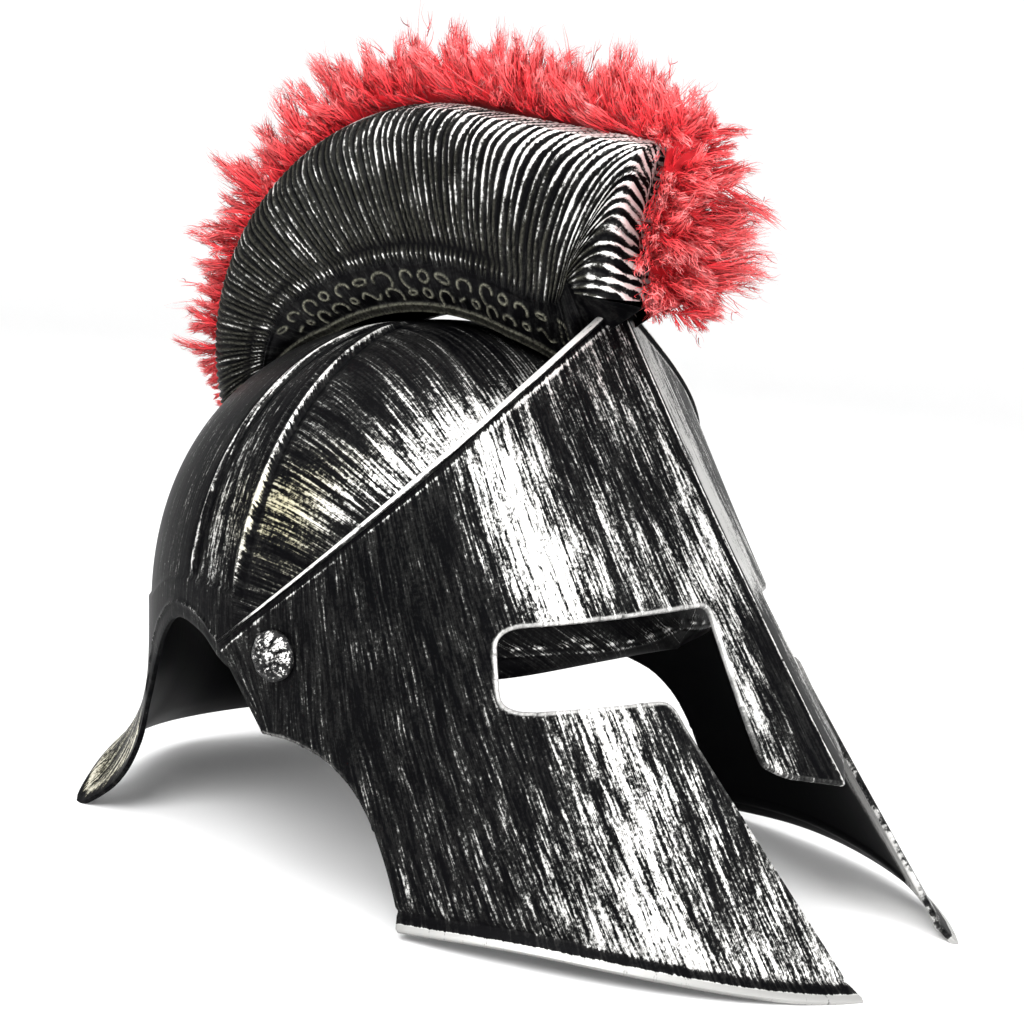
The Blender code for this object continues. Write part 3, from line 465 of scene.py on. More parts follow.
def visor_point(turn, back, z):
    """A squarish half ellipse: half width times sine, reach times cosine, each to the power 2 / squareness.
    The prow adds the square of how near the crease is, and back runs the straight side to the rear."""
    up = np.maximum(z, 0.0)
    wide = VISOR_HALF_WIDTH + VISOR_NARROW[0] * up + VISOR_NARROW[1] * up**2
    reach = VISOR_REACH - VISOR_REACH_SLOPE * z + VISOR_REACH_CURVE * z**2
    low = np.clip((CHEEK_TOP - z) / (CHEEK_TOP - CHEEK_BOTTOM), 0.0, 1.2)
    power = 2 / (VISOR_SQUARENESS + CHEEK_SQUARENESS * low)
    x = wide * np.sin(turn) ** power
    y = -reach * np.cos(turn) ** power - VISOR_PROW * (1 - x / wide) ** 2
    rear = np.interp(z, SIDE_REAR_Z[::-1], SIDE_REAR_Y[::-1])
    return np.stack([x, y + back * rear, np.broadcast_to(z, x.shape)], -1)


def visor_outward(turn, back, z):
    """Level unit vector square to the section, from two close points of it."""
    ahead = visor_point(np.minimum(turn + 0.01, math.pi / 2), back + 0.01, z)
    behind = visor_point(np.maximum(turn - 0.01, 0.0), back - 0.01, z)
    step = unit((ahead - behind)[:, :2])
    return np.stack([step[:, 1], -step[:, 0], np.zeros(len(step))], -1)


def visor_half():
    """Rows from the bottom edge to the rim, columns from the crease to the rear, for x >= 0. The edges are
    where the section meets the bottom line and the rim's plane, found by stepping towards them."""
    lie = np.linspace(0, 1, FACE_COLUMNS)
    turn = np.radians(np.append(90 * (0.35 * lie**2 + 0.65 * lie), np.full(SIDE_COLUMNS, 90.0)))
    back = np.append(np.zeros(FACE_COLUMNS), np.arange(1, SIDE_COLUMNS + 1) / SIDE_COLUMNS)
    bottom = np.full(turn.shape, CHEEK_BOTTOM)
    top = np.full(turn.shape, 60.0)
    for _ in range(ROUNDS):
        low = visor_point(turn, back, bottom)
        bottom = (bottom + smooth_curve(BOTTOM_Y, BOTTOM_Z, np.clip(low[:, 1], -175, 30))) / 2
        high = visor_point(turn, back, top)
        rim = RIM_LEVEL - RIM_FALL_Y * high[:, 1] - RIM_FALL_X * high[:, 0]
        top = 0.6 * top + 0.4 * np.minimum(rim, RIM_PEAK)
    sheet = []
    for share in np.linspace(0, 1, LIP_ROWS):
        z = bottom + share * LIP_DEPTH
        # The lip turns out, and a groove is pressed in above it.
        press = LIP_OUT * (1 - share) ** 2 - 0.7 * bump(share - 0.86, 0.16)
        sheet.append(visor_point(turn, back, z) + press * visor_outward(turn, back, z))
    for share in np.linspace(0, 1, PLATE_ROWS)[1:]:
        sheet.append(visor_point(turn, back, bottom + LIP_DEPTH + share * (top - bottom - LIP_DEPTH)))
    grid = np.array(sheet)
    grid[:, 0, 0] = 0.0
    return grid


visor_right = visor_half()
visor_grid = np.concatenate([visor_right[:, :0:-1] * MIRROR, visor_right], axis=1)
print("visor sheet:", visor_grid.shape[:2], "widest, mm:", visor_grid[..., 0].max().round(1))

# %% [markdown]
# The face opening is drawn from the front and the cheeks' rear edge from the side, as outlines with rounded
# corners. A signed distance to such an outline tells, for each point of the sheet, how far inside or outside
# it is. Where that distance changes sign the triangles are cut, so the edge comes out smooth.

# %% The openings' outlines
# The eye slot and the mouth gap on one side, seen from the front.
FACE_OPENING = [
    # name,              x,      z, corner radius
    ("nose tip",       0.0,  -40.0, 0.0),
    ("nose low side", 19.0,  -35.5, 3.0),
    ("nose corner",   24.8,  -31.5, 1.5),
    ("slot inner",    17.2,   15.5, 4.0),
    ("slot top",      78.5,   12.0, 7.0),
    ("slot bottom",   82.0,  -14.5, 6.5),
    ("cheek top",     44.0,  -12.0, 3.5),
    ("cheek front",   35.0,  -99.0, 0.0),
    ("gap bottom",    32.0, -130.0, 0.0),
]
# The cheek's rear edge, seen from the side, closed round behind the visor.
CHEEK_REAR = [
    # name,         y,     z, corner radius
    ("corner",     6.5,  -24.5, 3.0),
    ("notch",     -6.0,  -25.5, 6.0),
    ("hollow 1", -20.0,  -30.5, 6.0),
    ("hollow 2", -30.0,  -39.0, 5.5),
    ("hollow 3", -37.0,  -50.0, 5.5),
    ("hollow 4", -42.0,  -62.0, 5.5),
    ("hollow 5", -45.5,  -73.0, 5.0),
    ("bottom",   -48.0,  -84.0, 0.0),
    ("below",    -48.0, -130.0, 0.0),
    ("behind",    80.0, -130.0, 0.0),
    ("rear",      80.0,  -24.5, 0.0),
]


def rounded(table, steps=9):
    """The table's outline with each corner replaced by a parabola arc between points a radius away."""
    corners = np.array([row[1:3] for row in table])
    outline = []
    for i, row in enumerate(table):
        here = corners[i]
        if not row[3]:
            outline.append(here)
            continue
        before = corners[i - 1] - here
        after = corners[(i + 1) % len(table)] - here
        start, end = here + unit(before) * row[3], here + unit(after) * row[3]
        outline += [(1 - t) ** 2 * start + 2 * t * (1 - t) * here + t**2 * end
                    for t in np.linspace(0, 1, steps)]
    return np.array(outline)


# The outline runs once round both eyes: the drawn half, then its mirror image read back.
half_outline = rounded(FACE_OPENING)
face_outline = np.concatenate([half_outline, half_outline[:0:-1] * MIRROR[:2]])
print("face outline:", len(face_outline), "points")

# %% [markdown]
# A point is inside an outline when a level ray from it crosses the outline an odd number of times.

# %% Distance to an outline
def outline_distance(flat, outline):
    """Signed distance from flat points to a closed outline: the least distance to its straight pieces,
    negative where a ray crosses the outline an odd number of times."""
    start = outline
    step = np.roll(outline, -1, axis=0) - outline
    to = flat[:, None] - start
    share = np.clip((to * step).sum(-1) / np.maximum((step * step).sum(-1), 1e-12), 0, 1)
    gap = np.linalg.norm(to - share[..., None] * step, axis=-1).min(1)
    above = (start[:, 1] > flat[:, 1, None]) != (start[:, 1] + step[:, 1] > flat[:, 1, None])
    rise = np.where(step[:, 1] == 0, 1, step[:, 1])
    meet = start[:, 0] + step[:, 0] * (flat[:, 1, None] - start[:, 1]) / rise
    odd = (above & (flat[:, 0, None] < meet)).sum(1) % 2 == 1
    return np.where(odd, -gap, gap)


count = visor_grid.shape[:2]
flat = visor_grid.reshape(-1, 3)
border = np.minimum(outline_distance(flat[:, [0, 2]], face_outline),
                    outline_distance(flat[:, 1:], rounded(CHEEK_REAR)))
print("openings take", int((border < 0).sum()), "of", len(flat), "points")

# %% [markdown]
# A triangle that the outline crosses keeps its inner part: one smaller triangle where one corner is left, and
# two where two corners are.

# %% Cutting a sheet
def cut_sheet(points, triangles, depth, values):
    """Keep the part of a sheet where depth is positive. A triangle with one or two corners left is cut
    where depth, taken as straight along each edge, is zero."""
    keep = depth > 0
    held = keep[triangles].sum(1)
    whole = triangles[held == 3]
    # Turn each cut triangle so that its odd corner comes first.
    cut = triangles[(held == 1) | (held == 2)]
    odd = np.where((keep[cut].sum(1) == 1)[:, None], keep[cut], ~keep[cut]).argmax(1)
    cut = cut[np.arange(len(cut))[:, None], (odd[:, None] + np.arange(3)) % 3]
    sides = np.stack([cut[:, [0, 1]], cut[:, [0, 2]]], 1)
    pairs, back = np.unique(np.sort(sides.reshape(-1, 2), axis=1), axis=0, return_inverse=True)
    back = back.reshape(-1, 2) + len(points)
    low, high = depth[pairs[:, 0]], depth[pairs[:, 1]]
    share = np.clip(low / (low - high), 0.12, 0.88)
    joined = [np.concatenate([v, v[pairs[:, 0]] * (1 - share.reshape(-1, *[1] * (v.ndim - 1)))
                              + v[pairs[:, 1]] * share.reshape(-1, *[1] * (v.ndim - 1))])
              for v in (points, *values)]
    one = keep[cut[:, 0]]
    tips = np.stack([cut[one, 0], back[one, 0], back[one, 1]], -1)
    rest = ~one
    ends = np.concatenate([np.stack([back[rest, 0], cut[rest, 1], cut[rest, 2]], -1),
                           np.stack([back[rest, 0], cut[rest, 2], back[rest, 1]], -1)])
    faces = np.concatenate([whole, tips, ends])
    used, names = np.unique(faces, return_inverse=True)
    return joined[0][used], names.reshape(-1, 3), [v[used] for v in joined[1:]]


# %% [markdown]
# A decorator drags a nearly dry brush of silver down the plate, so each streak keeps to one column of the
# sheet. The map's first number is therefore the distance across the plate, the same all the way down a
# column, and its second is the distance along it. How far the paint covers is one more value per point.

# %% The visor's finish map and its wall
CHEEK_FRONT_Y = -108         # the part of a cheek further forward than this has a painted edge

middle_row = visor_grid[visor_grid.shape[0] * 6 // 10]
run_across = np.broadcast_to(run_along(middle_row) - run_along(middle_row).mean(), count)
from_rim = run_down(visor_grid)
lie = np.abs(run_across)
height = visor_grid[..., 2]
from_bottom = from_rim[0] - from_rim
# Brightest down a band from the rim to the front of the cheek: heavy brushing, and partly a painted highlight
# where that side faces the light. The sides stay nearly black.
bright = np.interp(height, (-80, -60, -40, 5, 30, 55, 80), (78, 74, 66, 74, 77, 78, 74))
inner = np.interp(height, (-30, 0, 30, 60), (9, 10, 17, 20))
outer = np.interp(height, (-70, -10, 20, 60), (18, 15, 14, 15))
strength = np.interp(height, (-80, -50, -10, 20, 50, 66, 80), (0.27, 0.26, 0.35, 0.36, 0.35, 0.28, 0.10))
low = fade(-height, 15)
high = 1 - low
paint = 0.16 + low * np.interp(height, (-85, -30), (0.16, 0.03))
paint += strength * bump(lie - bright, np.where(lie < bright, inner, outer))
paint += 0.10 * low * bump(lie - bright - 24, 16.0)
paint += (high * (0.22 + 0.10 * bump(height - 26, 14.0)) + 0.15 * low) * fade(bright + 8 - lie, 16)
paint += high * 0.20 * bump(lie - 6, 6.0) * bump(height - 36, 30.0)
paint -= high * (0.14 * bump(lie - 48, 3.5) + 0.08 * bump(lie - 29, 3.0))
# The nose guard has a dark strip beside the crease and a bright side.
nose = fade(12 - height, 6) * fade(34 - lie, 6)
paint += nose * (0.20 * bump(lie - 22, 8.0) - 0.30 * bump(lie - 5, 6.0))
# Next to the crease on the wearer's left the forehead is painted smooth grey: a painted reflection of the far
# half.
grey = (visor_grid[..., 0] > 0) * fade(height - 8, 20) * bump(np.maximum(lie - 14, 0), 10.0)
paint += 0.28 * grey
paint = np.where(lie < 1.0, 0.75, np.where(lie < 2.6, -0.3, paint))
lip_share = np.clip(from_bottom / LIP_DEPTH, 0, 2)
paint = np.where(lip_share < 0.34, 0.98, paint - 0.7 * bump(lip_share - 0.70, 0.30))
grey = np.where(lip_share < 0.34, 1.0, 0.8 * grey)
# A thin bright line 3 mm below the rim; the dark line between it and the bead is painted shadow under the
# bead.
paint += 0.45 * bump(from_rim - 3.0, 0.5) - 0.7 * bump(from_rim - 1.9, 0.7)
edge_wear = 0.35 + 0.65 * bump(height, 24.0)
values = [run_across * MM, from_rim * MM, paint, border.reshape(count), edge_wear, grey]
points, faces, values = cut_sheet(flat, as_triangles(grid_quads(*count)), border, [v.ravel() for v in values])
points, faces, values = wall_of(points, faces, VISOR_WALL, values)
u, v, paint, border, edge_wear, grey, side = values
# The brush also went round the cheeks' front edge, onto a strip of the inner face.
turned_in = side * fade(26 - border, 5) * fade(-34 - points[:, 2], 8) * (points[:, 1] < CHEEK_FRONT_Y)
paint = paint * (1 - turned_in) + 0.80 * turned_in
grey = grey * (1 - turned_in) + 0.45 * turned_in
side = side * (1 - turned_in)
# The tint value carries the steel of the lip and the turned-in strip, and the painted reflection on the far
# forehead.
visor = make_piece("visor_plate", points, faces, np.stack([u, v], -1),
                   {"brush": paint, "worn": 0.8 * edge_wear * np.exp(-np.abs(border) / 0.35),
                    "inside": side, "tint": grey})

# %% [markdown]
# A round bead stiffens the visor's top rim, like wire rolled into sheet metal. A circle is carried along the
# rim: at each place it is drawn with two unit vectors square to the path, so its section stays round.

# %% The visor's rim bead
BEAD_SIDES = 12
BEAD_MIDDLE, BEAD_END = 1.25, 0.55   # it thins out towards the studs


def tube(path, radii, hint=(0.0, 0.3, 1.0)):
    """Rings round a path: centre + radius (cos a * side + sin a * up), where side is square to the path and
    to the hint, and up to both. The ends are drawn in to a point."""
    ahead = unit(np.gradient(path, axis=0))
    side = unit(np.cross(ahead, hint))
    up = np.cross(side, ahead)
    turn = np.linspace(0, 2 * math.pi, BEAD_SIDES, endpoint=False)[None, :, None]
    rings = path[:, None] + radii[:, None, None] * (np.cos(turn) * side[:, None] + np.sin(turn) * up[:, None])
    reach = 0.6 * radii[[0, -1], None] * ahead[[0, -1]] * [[-1], [1]]
    return closed_body(rings, path[[0, -1]] + reach)


rim_line = visor_grid[-1]
rim_run = run_along(rim_line)
from_end = np.minimum(rim_run, rim_run[-1] - rim_run)
points, faces = tube(rim_line, np.interp(from_end, (0, 90), (BEAD_END, BEAD_MIDDLE)))
# The brush leaves the underside bare, and the last stretch at each end.
reached = np.where(np.sin(np.linspace(0, 2 * math.pi, BEAD_SIDES, endpoint=False)) < -0.4, 0.15, 1.0)
bead_brush = np.append(np.outer(np.interp(from_end, (8, 22), (0.25, 0.95)), reached).ravel(), [0.2, 0.2])
u = np.append(np.repeat(rim_run, BEAD_SIDES), [0.0, rim_run[-1]]) * MM
v = np.append(np.tile(np.arange(BEAD_SIDES) * 0.7, len(rim_line)), [0.0, 0.0]) * MM
rim_bead = make_piece("visor_rim_bead", points, faces, np.stack([v, u], -1), {"brush": bead_brush})

# %% [markdown]
# ## The crest
# The crest is a hollow moulding that arches over the cap. A lower band carries raised scrolls, and above it
# about ninety ribs run up the side, bend forward over the shoulder and end at a channel that holds the plume.
# Three guide lines in the middle plane shape it: its rim, the top of the band and the shoulder. At the front
# the lines fan round a pivot.

# %% The crest's guide lines
CREST_WALL = 2.0
CREST_HALF_WIDTH = 25.0
CREST_REAR_HALF_WIDTH = 15.0
CREST_TAPER = 0.3
RIM_ARC_CENTRE = (6.0, 17.0)
RIM_ARC_RADIUS = 89.0
RIM_START_Y, RIM_END_Y = 79.0, -56.5
TOP_ARC_CENTRE = np.array([5.0, 79.0])
TOP_ARC_RADIUS = 93.0
TOP_ARC_START, TOP_ARC_END = -8.8, 106.0
BAND_HEIGHT = 17.0
FAN_PIVOT = np.array([-54.0, 113.0])
FRONT_EDGE = [
    # name,     share,      y,     z
    ("top",      0.00,  -83.0, 156.0),
    ("upper",    0.38,  -78.0, 140.0),
    ("lower",    0.68,  -74.5, 125.0),
    ("bottom",   1.00,  -76.0, 109.5),
]
FRONT_FOOT = [
    # name,     share,      y,     z
    ("rim end",  0.00,  -56.5,  84.0),
    ("step",     0.45,  -57.0,  96.0),
    ("bottom",   1.00,  -76.0, 107.0),
]
MAIN_COLUMNS = 470
FAN_COLUMNS = 60


def along_table(table, at):
    """The table's (y, z) at each share, straight between its rows."""
    data = np.array([row[1:] for row in table])
    return np.stack([np.interp(at, data[:, 0], data[:, c]) for c in (1, 2)], -1)


def crest_lines(share, fan):
    """Rim, band top and shoulder in (y, z), and the half width, at shares of the arch and of the fan."""
    narrowed = np.clip(1 - share / CREST_TAPER, 0, 1) ** 2
    half = CREST_HALF_WIDTH - (CREST_HALF_WIDTH - CREST_REAR_HALF_WIDTH) * narrowed
    rim_y = RIM_START_Y + (RIM_END_Y - RIM_START_Y) * share
    arch = RIM_ARC_CENTRE[1] + np.sqrt(RIM_ARC_RADIUS**2 - (rim_y - RIM_ARC_CENTRE[0]) ** 2)
    off = np.hypot((half - 4.0) / CAP_HALF_WIDTH, (rim_y - CAP_CENTRE_Y) / CAP_HALF_LENGTH)
    dome = CAP_HEIGHT * (1 - np.clip(off, 0, 1) ** CAP_ROUNDNESS) ** (1 / CAP_ROUNDNESS) + 0.6
    rim = np.stack([rim_y, np.maximum(arch, dome)], -1)
    start, end = math.radians(TOP_ARC_START), math.radians(TOP_ARC_END)
    arc = (end - start) * TOP_ARC_RADIUS
    arc_end = TOP_ARC_CENTRE + TOP_ARC_RADIUS * np.array([math.cos(end), math.sin(end)])
    front = np.array(FRONT_EDGE[0][2:]) - arc_end
    along = share * (arc + np.linalg.norm(front))
    turn = start + np.minimum(along, arc) / TOP_ARC_RADIUS
    shoulder = TOP_ARC_CENTRE + TOP_ARC_RADIUS * np.stack([np.cos(turn), np.sin(turn)], -1)
    shoulder += np.clip((along - arc) / np.linalg.norm(front), 0, 1)[:, None] * front
    band = rim + unit(shoulder - rim) * (BAND_HEIGHT * np.clip(share / 0.25, 0.15, 1))[:, None]
    pull = fade(share - 0.8, 0.2)[:, None] ** 2
    band = band * (1 - pull) + FAN_PIVOT * pull
    near = 0.35 * fan[:, None]
    hub = FAN_PIVOT * (1 - near) + along_table(FRONT_EDGE, fan) * near
    return (np.concatenate([rim, along_table(FRONT_FOOT, fan)]), np.concatenate([band, hub]),
            np.concatenate([shoulder, along_table(FRONT_EDGE, fan)]),
            np.append(half, np.full(len(fan), CREST_HALF_WIDTH)))


arch_share = np.linspace(0, 1, MAIN_COLUMNS)
fan_share = np.linspace(0, 1, FAN_COLUMNS + 1)[1:]
crest_rim, crest_band, crest_shoulder, crest_half_width = crest_lines(arch_share, fan_share)
print("shoulder of the crest, mm:", run_along(crest_shoulder)[-1].round(1))

# %% [markdown]
# The half section has nine knots from the rim to the middle. A smooth curve through them gives, for each row,
# where it lies between the guide lines, its share of the half width and how far it lifts off the shoulder.

# %% The crest's smooth body
CREST_SECTION = [
    # name,          across, width share, lift, rib share
    ("rim",          0.00,  0.72,  0.0, 0.0),
    ("band",         0.50,  0.94,  0.0, 0.0),
    ("band top",     1.00,  1.00,  0.0, 1.0),
    ("side",         1.40,  1.03,  0.0, 1.0),
    ("upper side",   1.80,  0.98,  0.0, 1.0),
    ("shoulder",     2.00,  0.80,  0.8, 1.0),
    ("crown",        2.00,  0.52,  3.0, 0.9),
    ("channel",      2.00,  0.36,  1.2, 0.2),
    ("middle",       2.00,  0.00,  0.8, 0.0),
]
FOOT_PINCH = 0.6
BAND_ROWS = 36
RIB_ROWS = 34
MIDDLE_ROWS = 3


def columns_of(arch, fan):
    """One value per column of the crest: those along the arch, then those of the fan."""
    return np.append(arch, np.broadcast_to(fan, FAN_COLUMNS))


forward = columns_of(fade(arch_share - 0.82, 0.14), 1.0)


def crest_body(knots, inset):
    """One half of the crest, x >= 0: rows at the section's knots, columns along the arch and the fan."""
    data = np.array([row[1:] for row in CREST_SECTION])
    across, width, lift, _ = (smooth_curve(np.arange(len(data)), data[:, c], knots) for c in range(4))
    across = np.where(knots <= 2, knots / 2, np.clip(across, 1, 2))
    out = unit(crest_shoulder - crest_band)
    low = np.clip(across, 0, 1)[:, None, None]
    high = np.clip(across - 1, 0, 1)[:, None, None]
    place = crest_rim * (1 - low) + crest_band * low + (crest_shoulder - crest_band) * high
    top = np.clip((knots - 4.5) * 2, 0, 1)
    place = place + out * (np.maximum(lift, 0) - inset * top)[:, None, None]
    # Towards the front the foot is pinched in, so that it passes inside the visor's rim.
    pinch = 1 - FOOT_PINCH * np.clip(1 - knots / 2, 0, 1)[:, None] * forward
    x = np.maximum((crest_half_width - inset) * width[:, None] * pinch, 0.0)
    return np.stack([x, place[..., 0], place[..., 1]], -1)


def whole_section(half):
    """Both sides: the mirror image from its rim up to the middle, then the half back down."""
    return np.concatenate([half * MIRROR, half[-2::-1]])


knots = np.concatenate([np.linspace(0, 2, BAND_ROWS), np.linspace(2, 7, RIB_ROWS)[1:],
                        np.linspace(7, 8, MIDDLE_ROWS)[1:]])
crest_half = crest_body(knots, 0.0)
crest_half[-1, :, 0] = 0.0
crest_outer = whole_section(crest_half)
section_knot = np.append(knots, knots[-2::-1])
print("crest sheet:", crest_outer.shape[:2])

# %% [markdown]
# Each rib is a rounded ridge. Its number at a point is a count along the arch, less a sweep: up the side the
# sweep is backwards by about three ribs, and over the shoulder it turns and grows forwards. Above the band a
# groove cuts the ribs into a row of short knots. In front, a few more ribs spread like a fan from the pivot.

# %% Ribs
MAIN_RIBS = 88
FAN_RIBS = 9
RIB_PITCH = 2.1              # distance between ribs on the finish map
RIB_RISE = 0.95
SWEEP_RIBS = 9.0
SIDE_LEAN = 2.8
KNOT_LINE = 6.5

count_along = columns_of(MAIN_RIBS * (arch_share - 0.12 * arch_share**2) / 0.88,
                         MAIN_RIBS + FAN_RIBS * fan_share)
sweep = fade(section_knot - 2.7, 4.3) ** 1.4 * SWEEP_RIBS
swept = columns_of(0.3 + 0.9 * np.clip(arch_share * 1.5 - 0.4, 0, 1), np.linspace(1.2, 0.2, FAN_COLUMNS))
side_lean = SIDE_LEAN * fade(section_knot - 2.0, 2.2) ** 0.8
leaned = columns_of(fade(0.97 - arch_share, 0.2), 0.0)
number = count_along - sweep[:, None] * swept + side_lean[:, None] * leaned
number += 0.12 * np.sin(number * 2.1 + section_knot[:, None] * 1.7)
ridge = (0.5 + 0.5 * np.cos(2 * math.pi * number)) ** 0.8
rib_share = smooth_curve(np.arange(len(CREST_SECTION)), [row[4] for row in CREST_SECTION], section_knot)
rib_share = np.clip(np.where(section_knot < 2.0, 0, rib_share * 1.2), 0, 1)
height = np.concatenate([np.zeros((1, crest_half.shape[1])),
                         np.cumsum(np.linalg.norm(np.diff(crest_half, axis=0), axis=2), axis=0)])
height = np.concatenate([height, height[-2::-1]])
band_top = height[BAND_ROWS - 1]
rear = columns_of(fade(0.88 - arch_share, 0.12), 0.0)
above_band = height - band_top
knot_groove = rear * bump(above_band - KNOT_LINE, 0.9)
cord = rear * bump(above_band - KNOT_LINE - 1.7, 0.7)
rib_relief = (ridge - 0.35) * RIB_RISE * rib_share[:, None] * (1 - knot_groove)
rib_relief += 0.45 * cord - 0.5 * knot_groove
print("ribs on each side:", int(round(number.max() - number.min())))

# %% [markdown]
# The scrolls on the band are generic: rings, hooks, bars, ovals and S-curves in two rows, and a tall panel at
# the front end. Each one is a short line drawn about its own centre with circles and sine curves.

# %% Scrolls
MOTIFS = {
    # name: (width, start and end angle in half turns, x and y at an angle a and a share t of the line)
    "ring": (0.9, 0.0, 2.0, lambda a, t: (0.45 * np.cos(a), 0.45 * np.sin(a))),
    "oval": (1.24, 0.0, 2.0, lambda a, t: (0.62 * np.cos(a), 0.3 * np.sin(a))),
    "arch": (1.8, -0.125, 1.125, lambda a, t: (0.9 * np.cos(a), 0.75 * np.sin(a) - 0.3)),
    "hook": (1.5, -0.1, 1.3, lambda a, t: (0.8 * np.cos(a) * (1 - 0.35 * t), 0.8 * np.sin(a) - 0.6 * t)),
    "wave": (2.2, 0.0, 2.0, lambda a, t: (2.2 * t - 1.1, 0.5 * np.sin(a))),
    "bar": (1.0, 0.0, 2.0, lambda a, t: (0.9 * (t - 0.5), 0.5 * (t - 0.5))),
    "panel": (1.0, 0.0, 2.0, lambda a, t: (np.clip(0.8 * np.cos(a), -0.35, 0.35),
                                           np.clip(2.4 * np.sin(a), -1.4, 1.4))),
}
SCROLL_ROWS = [
    # first place, level as a share of the band, size share, scrolls in turn
    (26.0, 0.75, 1.00, ("oval", "arch", "hook", "ring", "arch", "oval", "arch", "hook", "ring")),
    (31.0, 0.43, 0.85, ("bar", "ring", "hook", "arch", "ring", "wave", "arch", "oval", "ring", "hook")),
]
SCROLL_GAP = 3.0
SCROLL_END = 139.0
PANEL_AT, PANEL_SIZE, PANEL_LEVEL = 145.5, 3.4, 0.56


def motif(kind, size, lean):
    """Points of a scroll about its own centre, turned by its lean."""
    _, start, end, shape = MOTIFS[kind]
    t = np.linspace(0, 1, 25)
    drawn = size * np.stack(shape(math.pi * (start + (end - start) * t), t), -1)
    return drawn @ np.array([[math.cos(lean), math.sin(lean)], [-math.sin(lean), math.cos(lean)]])


def scroll_places(turned):
    """Kind, size, place along the band, level and lean of each scroll; they are largest over the crown, and
    every third one is smaller. turned starts the rows at another scroll, so the two sides differ."""
    for first, level, row_size, kinds in SCROLL_ROWS:
        at, k = first, turned
        while at < SCROLL_END:
            kind = kinds[k % len(kinds)]
            size = row_size * np.interp(at, (30, 60, 95, 120, 145), (3.2, 4.0, 4.4, 3.4, 2.8))
            size *= 0.78 if k % 3 == 1 else 1.0
            reach = MOTIFS[kind][0] * size
            yield kind, size, at + reach / 2, level, 0.35 * math.sin(1.9 * k)
            at, k = at + reach + SCROLL_GAP, k + 1
    yield "panel", PANEL_SIZE, PANEL_AT, PANEL_LEVEL, 0.0


print("scrolls on a side:", len(list(scroll_places(0))))

# %% [markdown]
# The relief at a point of the band is a hill over its distance from the nearest scroll's line. The band also
# has a plain raised strip along its rim and a fine line along its top.

# %% Relief on the band
SCROLL_LINE = 0.5            # half width of a raised line
SCROLL_RISE = 0.65
RIM_STRIP = 4.2              # height of the plain strip
SCROLL_REACH = 9.0           # no scroll is longer than this from its centre

band_run = run_along((crest_rim + crest_band) / 2)
nearest = np.full(crest_outer.shape[:2], SCROLL_REACH)
for turned, start in ((0, 0), (4, len(section_knot) - BAND_ROWS)):
    for kind, size, at, level, lean in scroll_places(turned):
        drawn = motif(kind, size, lean) + [at, np.interp(at, band_run, band_top) * level]
        here = np.ix_(start + np.arange(BAND_ROWS), np.abs(band_run - at) < SCROLL_REACH)
        along = band_run[here[1].ravel()]
        gap = np.hypot(along[:, None] - drawn[:, 0], height[here][..., None] - drawn[:, 1])
        nearest[here] = np.minimum(nearest[here], gap.min(-1))
on_arch = columns_of(np.ones(MAIN_COLUMNS), 0.0)
on_band = fade(band_top - height - 0.8, 0.5) * columns_of(fade(arch_share - 0.16, 0.05), 0.0)
scroll = bump(nearest, SCROLL_LINE) * on_band
rim_strip = fade(RIM_STRIP - height, 0.6) * on_arch
edge_line = bump(height - band_top + 0.7, 0.6) * columns_of(fade(0.9 - arch_share, 0.05), 0.0)
crest_relief = rib_relief + SCROLL_RISE * scroll + 0.7 * rim_strip + 0.5 * edge_line
flat_crest = crest_outer.reshape(-1, 3)
outer_faces = as_triangles(grid_quads(*crest_outer.shape[:2]))
normals = point_normals(flat_crest, outer_faces)
print("crest relief, mm:", crest_relief.min().round(2), "to", crest_relief.max().round(2))

# %% [markdown]
# The inner face is smooth, so it needs far fewer points. The two faces are joined round their border with
# thin fans of triangles, which closes the moulding without filling it.

# %% Closing the crest
INNER_ROWS_EVERY = 5
INNER_COLUMNS_EVERY = 8


def border_loop(rows, columns):
    """Places of a grid's border, once round."""
    return np.concatenate([np.arange(columns), np.arange(1, rows) * columns + columns - 1,
                           (rows - 1) * columns + np.arange(columns - 2, -1, -1),
                           np.arange(rows - 2, 0, -1) * columns])


def every(count, step):
    """Every step-th place, with the last."""
    return np.unique(np.append(np.arange(0, count, step), count - 1))


def sewn(outer_loop, inner_loop, picks):
    """Triangles between two closed loops, where inner point k belongs to outer place picks[k]."""
    places = np.arange(len(outer_loop))
    k = np.searchsorted(picks, places, side="right") - 1
    after = np.roll(outer_loop, -1)
    fans = np.stack([after, outer_loop, inner_loop[k]], -1)
    turns = np.stack([outer_loop[np.append(picks[1:], 0)], inner_loop, np.roll(inner_loop, -1)], -1)
    return np.concatenate([fans, turns])


rows, columns = crest_outer.shape[:2]
inner_half = crest_body(knots, CREST_WALL)
inner_half[-1, :, 0] = 0.0
crest_inner = whole_section(inner_half)
row_picks, column_picks = every(rows, INNER_ROWS_EVERY), every(columns, INNER_COLUMNS_EVERY)
inner_grid = crest_inner[np.ix_(row_picks, column_picks)]
outer_border = border_loop(rows, columns)
inner_places = (row_picks[:, None] * columns + column_picks).ravel()[border_loop(*inner_grid.shape[:2])]
picks = np.array([np.flatnonzero(outer_border == place)[0] for place in inner_places])
start = rows * columns
inner_faces = as_triangles(grid_quads(*inner_grid.shape[:2]))[:, ::-1] + start
seam = sewn(outer_border, start + border_loop(*inner_grid.shape[:2]), picks)
crest_points = np.concatenate([flat_crest + normals * crest_relief.reshape(-1, 1), inner_grid.reshape(-1, 3)])
crest_faces = outward_faces(crest_points, np.concatenate([outer_faces, inner_faces, seam]))
print("open edges of the crest:", len(open_edges(crest_faces)))

# %% [markdown]
# The ribs' tops and the scrolls catch the paint. It is heaviest where the ribs bend over in front, and every
# rib got a little more or less of it than the next.

